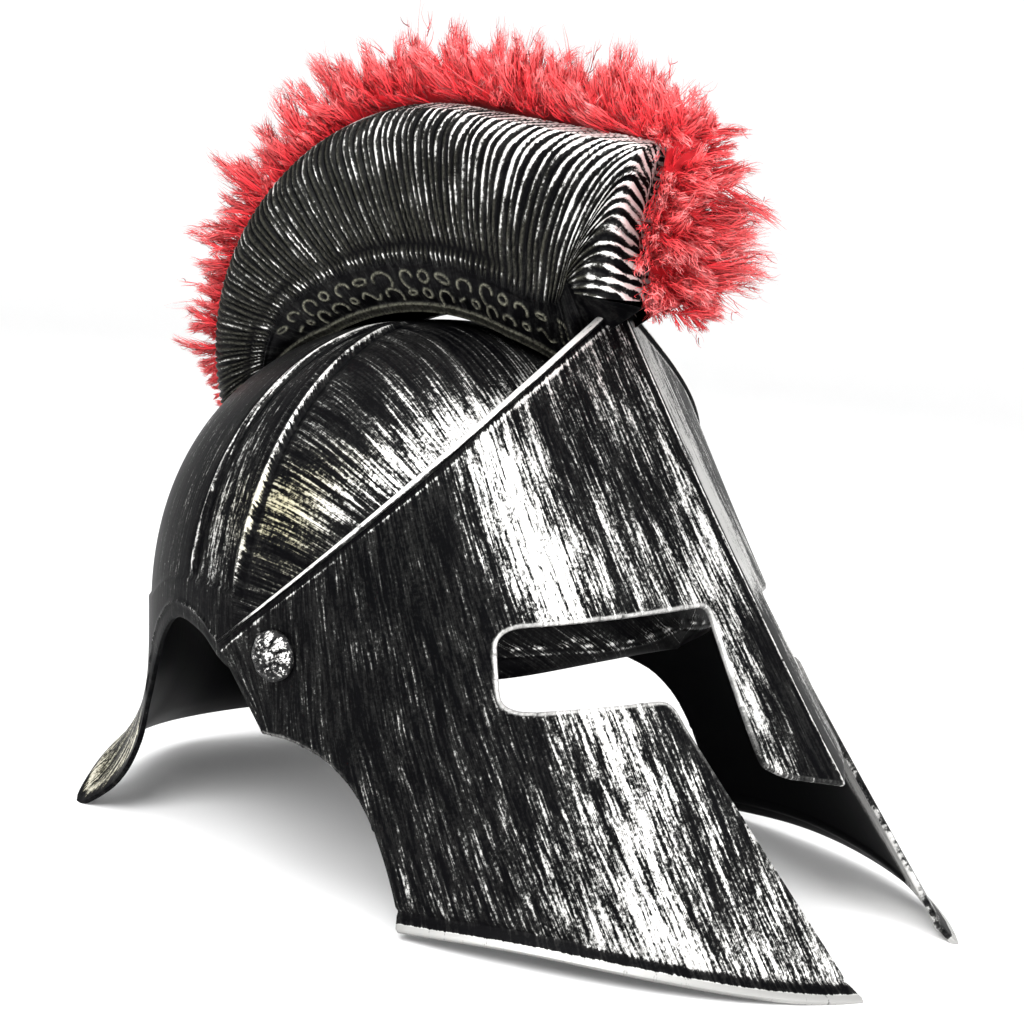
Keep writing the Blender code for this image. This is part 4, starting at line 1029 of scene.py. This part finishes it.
# %% The crest's finish
shoulder_place = fade(section_knot - 2.8, 2.0)[:, None]
ahead = columns_of(fade(arch_share - 0.35, 0.5), 1.0)
in_fan = columns_of(np.zeros(MAIN_COLUMNS), np.clip(fan_share * 5, 0, 1))
each_rib = np.sin(np.round(number) * 2.4) * 0.5 + np.sin(np.round(number) * 5.3) * 0.5
on_rib = ridge**3 * (section_knot[:, None] > 2.0)
paint = on_rib * (0.49 + 0.20 * shoulder_place * ahead**2 + 0.07 * each_rib)
paint += ridge * shoulder_place * ahead**2 * 0.56 * (1 + 0.4 * each_rib)
paint -= in_fan * (0.12 * on_rib + 0.22 * np.sin(height * 1.1 + 2.0 * number) * (section_knot[:, None] > 2.0))
paint += 0.20 * rear * ridge * bump(above_band - 3.0, 2.8) - 0.8 * knot_groove
gold = 0.60 * bump(nearest, 0.32) * on_band
gold += 0.13 * on_rib**1.7 * (1 - ahead * shoulder_place) * (1 - knot_groove)
gold += rim_strip * (0.04 + 0.30 * bump(height - RIM_STRIP + 0.5, 0.5) + 0.16 * bump(height - 0.5, 0.5))


def with_inner(outer, inner=0.0):
    """One value per point: the outer face's, then the same number for every point of the inner face."""
    return np.append(outer, np.full(inner_grid.shape[0] * inner_grid.shape[1], inner))


crest_uv = np.stack([with_inner(number * RIB_PITCH), with_inner(height)], -1) * MM
crest = make_piece("crest_shell", crest_points, crest_faces, crest_uv,
                   {"brush": with_inner(paint), "tint": with_inner(gold),
                    "inside": with_inner(np.zeros(paint.size), 1.0)}, sharp=60.0)

# %% [markdown]
# ## The plume
# The plume is marabou trim: downy feathers bound to a cord that is glued in the crest's channel and hangs
# over its front. It is built as a solid core under a great many fine curved barbs. They grow in tufts, so
# each barb takes its direction from its tuft and a little scatter of its own.

# %% The plume's core
PLUME_END = np.array([-78.5, 101.5])
PLUME_ROOT_LIFT = 2.0
CORNER_SHARE = 0.800         # where the line turns down over the crest's front
PLUME_SIZE = [
    # name,      share, height, half width
    ("rear end",  0.00,   9.0,  7.0),
    ("rear",      0.10,  21.0, 13.5),
    ("back",      0.35,  24.0, 16.5),
    ("top",       0.60,  22.0, 21.0),
    ("brow",      0.78,  19.0, 23.0),
    ("corner",    0.84,  18.0, 23.0),
    ("front",     0.92,  25.0, 24.0),
    ("chin",      1.00,  17.0, 17.0),
]
plume_line = np.concatenate([crest_shoulder, [PLUME_END]])
plume_run = run_along(plume_line)


def plume_frame(share, ease=9.0):
    """The plume's line in (y, z) at a share of its length, its outward direction, height and half width."""
    at = share * plume_run[-1]
    line, ahead, behind = (np.stack([np.interp(at + off, plume_run, plume_line[:, c]) for c in (0, 1)], -1)
                           for off in (0.0, ease, -ease))
    along = unit(ahead - behind)
    size = np.array([row[1:] for row in PLUME_SIZE])
    return (line, np.stack([along[..., 1], -along[..., 0]], -1), along,
            smooth_curve(size[:, 0], size[:, 1], share), smooth_curve(size[:, 0], size[:, 2], share))


CORE_ROWS, CORE_SIDES = 220, 40
share, turn = np.meshgrid(np.linspace(0.02, 0.985, CORE_ROWS),
                          np.linspace(0, 2 * math.pi, CORE_SIDES, endpoint=False), indexing="ij")
line, out, along, tall, wide = plume_frame(share)
tuft = 1 + 0.10 * np.sin(share * 83 + 2 * np.sin(turn)) * np.sin(2 * turn + share * 31)
taper = np.clip(np.minimum(share - 0.015, 0.99 - share) / 0.02, 0.15, 1) ** 0.5
across = 0.50 * wide * np.sin(turn) * tuft * taper
taper *= 1 - 0.35 * bump(share - CORNER_SHARE, 0.05)
lift = PLUME_ROOT_LIFT + 0.25 * tall * (1 - np.cos(turn)) * tuft * taper
core = np.stack([across, line[..., 0] + out[..., 0] * lift, line[..., 1] + out[..., 1] * lift], -1)
points, faces = closed_body(core, core[[0, -1]].mean(1))
# The core's tone value is low, which makes it darker: painted shade under the down.
plume_core = make_piece("plume_core", points, faces, None,
                        {"tip": np.zeros(len(points)), "tint": np.full(len(points), 0.3)})

# %% [markdown]
# A plumelet has a soft stem that bends from its root to its tip, and barbs that leave the stem, bow out and
# close up again towards the tip, so it looks like a small flame. Stems and barbs are the same curve,
# (1 - t)^2 root + 2 t (1 - t) knee + t^2 tip. A barb is a ribbon whose half width falls as (1 - t)^0.6, so it
# ends in a point. It is shaded by the direction out of its plumelet, which makes the down look soft and deep.

# %% Barbs
BARB_STEPS = 5
dice = np.random.default_rng(11)


def bowed(root, knee, tip, t):
    """The curve through root and tip that a knee pulls out."""
    return (1 - t) ** 2 * root + 2 * t * (1 - t) * knee + t**2 * tip


def barbs(root, knee, tip, width, facing):
    """Ribbons as one mesh: for each barb, BARB_STEPS pairs of points, and quads between the pairs."""
    count = len(root)
    t = np.linspace(0, 1, BARB_STEPS)[None, :, None]
    aim = tip - root
    reach = np.linalg.norm(aim, axis=1)[:, None, None]
    wave = unit(np.cross(aim, dice.normal(size=(count, 3))))[:, None]
    swing = 0.035 * np.sin(t * dice.uniform(4, 9, (count, 1, 1)) + dice.uniform(0, 6.3, (count, 1, 1)))
    centre = bowed(root[:, None], knee[:, None], tip[:, None], t) + reach * wave * swing * t
    # The ribbon's flat side is turned outwards.
    side = unit(np.cross(aim, facing + 0.5 * dice.normal(size=(count, 3))))[:, None]
    half = width[:, None, None] * (1 - 0.92 * t) ** 0.6 / 2
    points = np.stack([centre - side * half, centre + side * half], 2).reshape(-1, 3)
    pair = (np.arange(count)[:, None] * BARB_STEPS + np.arange(BARB_STEPS - 1)).ravel() * 2
    faces = np.stack([pair, pair + 1, pair + 3, pair + 2], -1)
    length = np.broadcast_to(t, (count, BARB_STEPS, 1)).repeat(2, 2).ravel()
    return points, faces, length


def outward(share, turn, lean):
    """Direction out of the plume at a share of its length: turned to the side and leaned along it."""
    out, along = plume_frame(share)[1:3]
    return unit(np.stack([np.sin(turn), out[:, 0] * np.cos(turn) + along[:, 0] * lean,
                          out[:, 1] * np.cos(turn) + along[:, 1] * lean], -1))


def root_at(share, turn):
    """Root of a plumelet on a small arc about the cord."""
    line, out, _, tall, wide = plume_frame(share)
    lift = PLUME_ROOT_LIFT + 0.10 * tall + 0.20 * tall * np.cos(turn)
    return np.stack([0.50 * wide * np.sin(turn), line[:, 0] + out[:, 0] * lift,
                     line[:, 1] + out[:, 1] * lift], -1)


print("points per barb:", 2 * BARB_STEPS)

# %% [markdown]
# Down grows in bunches, each a flame of a few plumelets whose tips lean together, with loose short plumelets
# between them. Neighbours are turned by the golden share of a turn, so no side goes bare.

# %% Where the plumelets grow
BUNCHES = 130
PLUMELETS_PER_BUNCH = 5
FILLERS = 1250               # the loose plumelets
WISP_EVERY = 8               # one filler in so many is long and thin
BUNCH_BARBS, FILLER_BARBS, WISP_BARBS = 56, 20, 9     # barbs on one plumelet of each kind
GOLDEN = 0.618
COMBED = 0.72                # plumelets point less to the side than they grow
FLAMES, FLAME_SWELL = 13, 0.20
SECTIONS = [("plume_rear", 0.0, 0.42), ("plume_top", 0.42, 0.76), ("plume_front", 0.76, 1.1)]


def placed(count, most):
    """Shares, turns and leans of count tufts, turned by at most that many radians to each side."""
    share = np.clip((np.arange(count) + dice.uniform(-0.5, 0.5, count)) / count, 0, 1) ** 0.80 * 0.97 + 0.02
    turn = (np.arange(count) * GOLDEN % 1 * 2 - 1) * most * np.interp(share, (0.88, 1.0), (1.0, 0.8))
    lean = dice.normal(-0.05, 0.34, count) + 0.75 * np.clip((share - 0.94) / 0.05, 0, 1)
    return share, turn + dice.normal(0, 0.10, count), lean


def full_size(share, turn):
    """How far the down reaches from its root in that direction."""
    tall, wide = plume_frame(share)[3:]
    return np.hypot(0.95 * wide * np.sin(turn), tall * np.cos(turn))


bunch_share, bunch_turn, bunch_lean = placed(BUNCHES, 1.5)
bunch_size = full_size(bunch_share, bunch_turn) * dice.uniform(0.75, 1.35, BUNCHES)
bunch_size *= 1 + FLAME_SWELL * np.sin(2 * math.pi * FLAMES * bunch_share)
bunch_root = root_at(bunch_share, bunch_turn)
bunch_tip = bunch_root + outward(bunch_share, COMBED * bunch_turn, bunch_lean) * bunch_size[:, None]

owner = np.repeat(np.arange(BUNCHES), PLUMELETS_PER_BUNCH)
count = len(owner)
stem_share = np.clip(bunch_share[owner] + dice.normal(0, 0.014, count), 0.018, 0.997)
stem_turn = bunch_turn[owner] + dice.normal(0, 0.24, count)
stem_root = root_at(stem_share, stem_turn)
stem_out = outward(stem_share, COMBED * stem_turn, 0.6 * bunch_lean[owner] + dice.normal(0, 0.25, count))
stem_size = bunch_size[owner][:, None] * dice.uniform(0.60, 1.0, (count, 1))
stem_tip = 0.45 * (stem_root + stem_out * stem_size) + 0.55 * (
    bunch_root[owner] + (bunch_tip - bunch_root)[owner] * stem_size / bunch_size[owner][:, None])

share, turn, lean = placed(FILLERS, 1.6)
# Round the corner the down fans out, so more of it is needed there.
from_corner = np.clip((share - CORNER_SHARE) / 0.05, -1, 1)
share -= 0.012 * np.sin(math.pi * from_corner)
wisp = np.arange(FILLERS) % WISP_EVERY == 0
size = full_size(share, turn)[:, None] * dice.uniform(0.40, 0.66, (FILLERS, 1)) * (1 + 1.1 * wisp[:, None])
root, out = root_at(share, turn), outward(share, COMBED * turn, 1.5 * lean)
stem_share, stem_size = np.append(stem_share, share), np.concatenate([stem_size, size])
stem_root, stem_out = np.concatenate([stem_root, root]), np.concatenate([stem_out, out])
stem_tip = np.concatenate([stem_tip, root + size * out])
stem_knee = stem_root + stem_out * stem_size * 0.6
barb_count = np.append(np.full(count, BUNCH_BARBS), np.where(wisp, WISP_BARBS, FILLER_BARBS))
# The short fillers run only 0.6 of the way along the colour ramp, so they keep the darker colours of the
# painted shade.
paleness = np.append(np.ones(count), np.where(wisp, 1.0, 0.6))
plume_pieces = []
for name, low, high in SECTIONS:
    mine = np.flatnonzero((stem_share >= low) & (stem_share < high))
    stem = np.repeat(mine, barb_count[mine])
    count = len(stem)
    begin = dice.uniform(0.0, 0.86, (count, 1)) ** 1.2
    end = begin + (1 - begin) * dice.uniform(0.35, 1.0, (count, 1))
    curve = stem_root[stem], stem_knee[stem], stem_tip[stem]
    sideways = unit(np.cross(stem_tip[stem] - stem_root[stem], dice.normal(size=(count, 3))))
    bow = 0.28 * stem_size[stem] * dice.uniform(0.15, 1.0, (count, 1))
    root = bowed(*curve, begin)
    tip = bowed(*curve, end) + sideways * bow * (1.02 - end) ** 0.7
    tip += dice.normal(0, 0.035, (count, 3)) * stem_size[stem]
    knee = (root + tip) / 2 + sideways * bow * 0.5
    facing = unit(stem_out[stem] + 0.9 * sideways)
    points, faces, length = barbs(root, knee, tip, dice.uniform(0.24, 0.46, count), facing)
    begin, end = (np.repeat(v[:, 0] * paleness[stem], BARB_STEPS * 2) for v in (begin, end))
    tint = np.repeat(dice.uniform(0, 1, count) * 0.6 + 0.4 * (stem * GOLDEN % 1), BARB_STEPS * 2)
    values = {"tip": begin + (end - begin) * length, "tint": tint}
    plume_pieces.append(make_piece(name, points, faces, None, values,
                                   facing=np.repeat(facing, BARB_STEPS * 2, axis=0)))

# %% [markdown]
# ## The studs
# A rosette-headed rivet on each side joins the visor to the cap and is the visor's axle. The head is a dome
# with eight petals: its height is a dome's, plus the cosine of eight times the angle, and the shank runs
# through both walls to a clenched end.

# %% Studs
HEAD_RADIUS = 8.0
HEAD_HEIGHT = 5.0
HEAD_BASE = 100.8            # from the middle of the helmet to the underside of the head
PETALS = 8
STUD_COLUMNS = 96
STUD_PROFILE = [
    # distance from the middle, radius
    (HEAD_BASE, HEAD_RADIUS), (HEAD_BASE, 3.0), (93.2, 3.0), (93.2, 5.0), (91.8, 5.0), (91.8, 0.05),
]
share, turn = np.meshgrid(np.linspace(0.004, 1, 36),
                          np.linspace(0, 2 * math.pi, STUD_COLUMNS, endpoint=False), indexing="ij")
petal = 0.5 + 0.5 * np.cos(PETALS * turn)
rise = HEAD_HEIGHT * np.sqrt(np.clip(1 - share**2 * 0.92, 0, 1)) * 0.72
rise += 1.25 * petal**0.7 * bump(share - 0.62, 0.24)
rise += 1.3 * bump(share, 0.20) - 0.7 * bump(share - 0.33, 0.08)
rise += 0.3 * bump(share - 0.62, 0.10) * np.cos(PETALS * 3 * turn)
radius = HEAD_RADIUS * share * (1 + 0.03 * petal * share)
head = np.stack([HEAD_BASE + rise, radius * np.cos(turn), radius * np.sin(turn)], -1)
stem = [np.stack([np.full(STUD_COLUMNS, x), r * np.cos(turn[0]), r * np.sin(turn[0])], -1)
        for x, r in STUD_PROFILE]
rings = np.concatenate([head, stem])
# Paint misses the cracks between the petals. The upper front of the head is painted brighter, a painted
# highlight where the light falls.
crack = (1 - petal) ** 4 * np.clip((share - 0.36) * 12, 0, 1)
crack += bump(share - 0.34, 0.05) + bump(share - 1, 0.05)
painted = fade(1 - crack, 1) * (0.40 + 0.24 * np.cos(turn - math.radians(130)))
painted = 0.05 + np.append(painted, np.zeros(len(stem) * STUD_COLUMNS + 2))
studs = {}
for label, side in (("right", MIRROR), ("left", 1.0)):
    points, faces = closed_body(rings * side, rings[[0, -1]].mean(1) * side)
    studs[label] = make_piece(f"stud_{label}_rosette", points, faces, None, {"brush": painted})

# %% [markdown]
# ## Finishes
# The helmet is black plastic, dry-brushed with silver: paint lies only where the bristles touched. So the
# mask is a streaky noise, long down the map and fine across it, compared with how much paint that place got.

# %% Material helpers
class Value:
    """A shader node's output. +, - and * with numbers or other Values each add a Math node."""

    def __init__(self, finish, socket):
        self.finish, self.socket = finish, socket

    def __add__(self, other):
        return self.finish.maths("ADD", self, other)

    def __sub__(self, other):
        return self.finish.maths("SUBTRACT", self, other)

    def __rsub__(self, other):
        return self.finish.maths("SUBTRACT", other, self)

    def __mul__(self, other):
        return self.finish.maths("MULTIPLY", self, other)


class Finish:
    """A node material with one Principled shader."""

    def __init__(self, name):
        self.material = bpy.data.materials.new(name)
        self.material.use_nodes = True
        self.tree = self.material.node_tree

    def fill(self, node, inputs):
        """Link Values to a node's inputs and set the rest. A key is an input's name, or i and its number."""
        for key, value in inputs.items():
            socket = node.inputs[int(key[1:]) if key[1:].isdigit() else key.replace("_", " ")]
            if isinstance(value, Value):
                self.tree.links.new(value.socket, socket)
            else:
                socket.default_value = value

    def add(self, kind, output=0, settings=None, **inputs):
        """Add a node and return one of its outputs."""
        node = self.tree.nodes.new("ShaderNode" + kind)
        for key, value in (settings or {}).items():
            setattr(node, key, value)
        self.fill(node, inputs)
        return Value(self, node.outputs[output])

    def maths(self, operation, a, b, clamp=False):
        return self.add("Math", 0, {"operation": operation, "use_clamp": clamp}, i0=a, i1=b)

    def attribute(self, name):
        return self.add("Attribute", "Fac", {"attribute_name": name})

    def mixed(self, share, a, b, blend="MIX"):
        """Colour a where share is 0 and b, or their blend, where it is 1."""
        return self.add("Mix", 2, {"data_type": "RGBA", "blend_type": blend}, i0=share, i6=a, i7=b)

    def noise(self, place, scale=1.0, detail=2.0, roughness=0.5, plane="3D"):
        return self.add("TexNoise", 0, {"noise_dimensions": plane}, Vector=place, Scale=scale, Detail=detail,
                        Roughness=roughness)

    def surface(self, **inputs):
        """Fill in the Principled shader and return the finished material."""
        self.fill(self.tree.nodes["Principled BSDF"], inputs)
        return self.material


# %% [markdown]
# The paint's streaks come from noise on the finish map, its grain from noise in space. Where their sum passes
# what the place needs, there is paint. Thin paint is grey and thick paint is bright, so the tone follows how
# far the sum passes the mark. A brush value of 0.12 leaves a few flecks, and 0.5 covers about half.

# %% Dry-brushed plastic
BLACK = (0.0010, 0.0010, 0.0014, 1.0)
SCUFFED = (0.020, 0.020, 0.019, 1.0)
SILVER = (0.80, 0.79, 0.77, 1.0)
DIM_SILVER = (0.13, 0.13, 0.125, 1.0)
GOLD = (0.24, 0.235, 0.18, 1.0)
OLIVE = (0.52, 0.48, 0.30, 1.0)
STEEL = (0.24, 0.24, 0.232, 1.0)


def brushed(name, streak=(0.0010, 0.014), grain=0.0011, mottle=0.42, tint=None, tint_over=0.0, shine=0.03):
    """Dry-brushed plastic. streak is the size of a streak across and along the map, in metres. tint is a
    colour that the paint takes by the tint value; with tint_over it also lies on the bare plastic."""
    finish = Finish(name)
    uv = finish.add("UVMap", 0, {"uv_map": "UVMap"})
    place = finish.add("TexCoord", "Object")
    by_streak = [finish.add("VectorMath", 0, {"operation": "MULTIPLY"}, i0=uv,
                            i1=(across / streak[0], along / streak[1], 0.0))
                 for across, along in ((1.0, 1.0), (0.22, 0.35))]
    fine = finish.noise(by_streak[0], detail=3.0, roughness=0.65, plane="2D")
    broad = finish.noise(by_streak[1], plane="2D")
    speck = finish.noise(place, 1 / grain, roughness=0.7)
    cloud = finish.noise(place, 45.0)
    brush = finish.attribute("brush")
    pattern = fine * 0.66 + broad * 0.34 + (speck - 0.5) * mottle
    passed = pattern - (0.76 - brush * 0.52 + (cloud - 0.5) * -0.16)
    mask = finish.add("MapRange", 0, {"interpolation_type": "SMOOTHSTEP"}, Value=passed, i1=-0.06, i2=0.09)
    worn = finish.maths("SUBTRACT", finish.attribute("worn") * 1.3, speck * 0.6, True)
    outside = finish.maths("SUBTRACT", 1.0, finish.attribute("inside"), True)
    mask = finish.maths("MAXIMUM", mask, worn) * outside
    thick = finish.maths("MAXIMUM", passed * 4.0 + brush * 0.35, worn)
    paint = finish.mixed(finish.add("MapRange", Value=thick, i1=0.12, i2=0.85), DIM_SILVER, SILVER)
    scuffs = finish.add("MapRange", Value=pattern + brush * 0.2, i1=0.48, i2=0.80)
    # Without scuffs the inner face stays black: partly the bare inside, partly painted shade within the
    # shell.
    base = finish.mixed(scuffs * outside, BLACK, SCUFFED)
    if tint is not None:
        amount = finish.attribute("tint")
        paint = finish.mixed(finish.maths("MULTIPLY", amount, 0.8, True), paint, tint)
        patches = finish.maths("SUBTRACT", speck * 3.2, 0.9, True)
        base = finish.mixed(finish.maths("MULTIPLY", amount * tint_over, patches, True), base, tint)
    raised = finish.add("Bump", Strength=0.25, Distance=0.0002, Height=mask + fine * 0.6)
    return finish.surface(Base_Color=finish.mixed(mask, base, paint), Metallic=mask * 0.5,
                          Roughness=finish.add("MapRange", Value=mask, i3=0.42, i4=0.36),
                          Normal=raised, Specular_IOR_Level=shine)


# On the visor the steel tint also carries the painted reflection on the far forehead.
visor_finish = brushed("visor_dry_brushed", tint=STEEL)
cap_finish = brushed("cap_dry_brushed", streak=(0.0011, 0.018), tint=OLIVE)
crest_finish = brushed("crest_dry_brushed", streak=(0.0016, 0.012), tint=GOLD, tint_over=1.6, shine=0.04)
stud_finish = brushed("stud_silvered", grain=0.0010, mottle=1.6, shine=0.2)

# %% [markdown]
# The down is dyed red. Its colour is painted darker towards the root, as painted shade deep in the down, and
# paler at its thin tips, a painted stand-in for light that shows through them.

# %% Dyed down, painted shade and light
def feather(name, root, middle, near_tip, tip):
    """Four colours at the shares 0, 0.4, 0.8 and 1 of a barb, made lighter or darker barb by barb."""
    finish = Finish(name)
    dye = finish.add("ValToRGB", Fac=finish.attribute("tip"))
    ramp = dye.socket.node.color_ramp.elements
    ramp[0].color = (*root, 1.0)
    ramp[1].color = (*tip, 1.0)
    ramp.new(0.40).color = (*middle, 1.0)
    ramp.new(0.80).color = (*near_tip, 1.0)
    tone = finish.add("MapRange", Value=finish.attribute("tint"), i3=0.72, i4=1.15)
    grey = finish.add("CombineColor", Red=tone, Green=tone, Blue=tone)
    return finish.surface(Base_Color=finish.mixed(1.0, dye, grey, "MULTIPLY"), Roughness=0.75,
                          Specular_IOR_Level=0.15, Sheen_Weight=0.35, Sheen_Tint=(1.0, 0.45, 0.45, 1.0))


plume_finish = feather("plume_marabou", (0.74, 0.013, 0.024), (0.88, 0.040, 0.052), (0.93, 0.12, 0.125),
                       (0.96, 0.40, 0.40))
# The cord is a darker red than the down's roots: painted shade that gives the down depth.
core_shade_finish = feather("plume_cord_shade", *[(0.55, 0.008, 0.016)] * 4)

# %% [markdown]
# Each piece gets its finish, rides on the moving body it belongs to, and stands for a node of the packed
# model.

# %% Putting the pieces in place
PIECES = [
    # piece,                body,      finish,       slot,    node it stands for
    (skull_cap,             "helmet",  cap_finish,   "cap",   "skull_cap"),
    (visor,                 "visor",   visor_finish, "visor", "visor"),
    (rim_bead,              "visor",   visor_finish, "visor", None),
    (crest,                 "helmet",  crest_finish, "crest", "crest"),
    (plume_core,            "helmet",  core_shade_finish,  "plume", "plume"),
    (plume_pieces[0],       "helmet",  plume_finish, "plume", None),
    (plume_pieces[1],       "helmet",  plume_finish, "plume", None),
    (plume_pieces[2],       "helmet",  plume_finish, "plume", None),
    (studs["right"],        "helmet",  stud_finish,  "stud",  "stud_right"),
    (studs["left"],         "helmet",  stud_finish,  "stud",  "stud_left"),
]
for piece, body, finish, slot, node_name in PIECES:
    piece.data.materials.append(finish)
    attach(piece, body)
    if node_name:
        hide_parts(node_name)

# %% [markdown]
# ## Stage
# A pale floor that curves up into a wall all round, three large soft lights, and the camera.

# %% Floor
turn = np.linspace(0, 2 * math.pi, 97)[None, :-1]
bend = np.linspace(0, math.pi / 2, 17)[:, None]
radius = np.concatenate([np.array([[0.01], [0.6], [1.2]]), 1.8 + 0.9 * np.sin(bend), [[2.7]]])
level = np.concatenate([np.zeros((3, 1)), 0.9 * (1 - np.cos(bend)), [[3.2]]])
bowl = np.stack(np.broadcast_arrays(radius * np.cos(turn), radius * np.sin(turn), level), -1)
rows, columns = bowl.shape[:2]
stage_mesh = bpy.data.meshes.new("studio_floor")
stage_mesh.from_pydata([*bowl.reshape(-1, 3), (0.0, 0.0, 0.0)], [],
                       [*grid_quads(rows, columns, ring=True).tolist(),
                        *[(rows * columns, (k + 1) % columns, k) for k in range(columns)]])
stage_mesh.shade_smooth()
floor = into_scene("studio_floor", stage_mesh)
stage_mesh.materials.append(Finish("studio_paint").surface(Base_Color=(0.93, 0.93, 0.93, 1.0), Roughness=0.9))

# %% [markdown]
# Lamps and camera face one point in the middle of the helmet. A place is given by two angles and a distance.

# %% Lights
AIM = np.array([0.0, -20.3, 37.7])


def looking(place, target, up=(0.0, 0.0, 1.0)):
    """Matrix of a camera or lamp at place that faces target, all in the helmet's frame."""
    ahead = unit(np.asarray(target, float) - place)
    right = unit(np.cross(ahead, up))
    axes = np.stack([right, np.cross(right, ahead), -ahead])
    origin = stand(place)
    turned = np.stack([(stand(np.asarray(place) + axis / MM) - origin) for axis in axes])
    matrix = np.eye(4)
    matrix[:3, :3] = turned.T
    matrix[:3, 3] = origin
    return Matrix(matrix.tolist())


def around(azimuth, elevation, distance):
    """A place at that many degrees round from the front towards the wearer's right, and above level."""
    a, e = math.radians(azimuth), math.radians(elevation)
    return AIM + distance * np.array([-math.sin(a) * math.cos(e), -math.cos(a) * math.cos(e), math.sin(e)])


LIGHTS = [
    # name,    azimuth, elevation, distance, size, watts
    ("key",       80.0,      42.0,   1300.0,  0.9, 16.0),
    ("fill",      15.0,      20.0,   1400.0,  1.2, 15.0),
    ("top",       60.0,      80.0,   1300.0,  1.0,  8.0),
]
for name, azimuth, elevation, distance, size, watts in LIGHTS:
    data = bpy.data.lights.new(name, "AREA")
    data.shape = "DISK"
    data.size = size
    data.energy = watts
    into_scene(name, data).matrix_world = looking(around(azimuth, elevation, distance), AIM)

world = bpy.data.worlds.new("studio")
world.use_nodes = True
backdrop = world.node_tree.nodes["Background"]
backdrop.inputs["Color"].default_value = (1.0, 1.0, 1.0, 1.0)
backdrop.inputs["Strength"].default_value = 0.85
bpy.context.scene.world = world

# %% [markdown]
# A product picture has full white and full black, so the Standard view is used, which leaves the tones alone.
# The camera stands on the wearer's right, a little above the visor's slots.

# %% Camera
CAMERA_AZIMUTH, CAMERA_ELEVATION, CAMERA_DISTANCE = 55.69, 5.525, 739.0
SENSOR_WIDTH, FOCAL_LENGTH = 36.0, 76.25

bpy.context.scene.view_settings.view_transform = "Standard"
lens = bpy.data.cameras.new("camera")
lens.sensor_width = SENSOR_WIDTH
lens.lens = FOCAL_LENGTH
camera = into_scene("camera", lens)
camera.matrix_world = looking(around(CAMERA_AZIMUTH, CAMERA_ELEVATION, CAMERA_DISTANCE), AIM)
bpy.context.scene.camera = camera
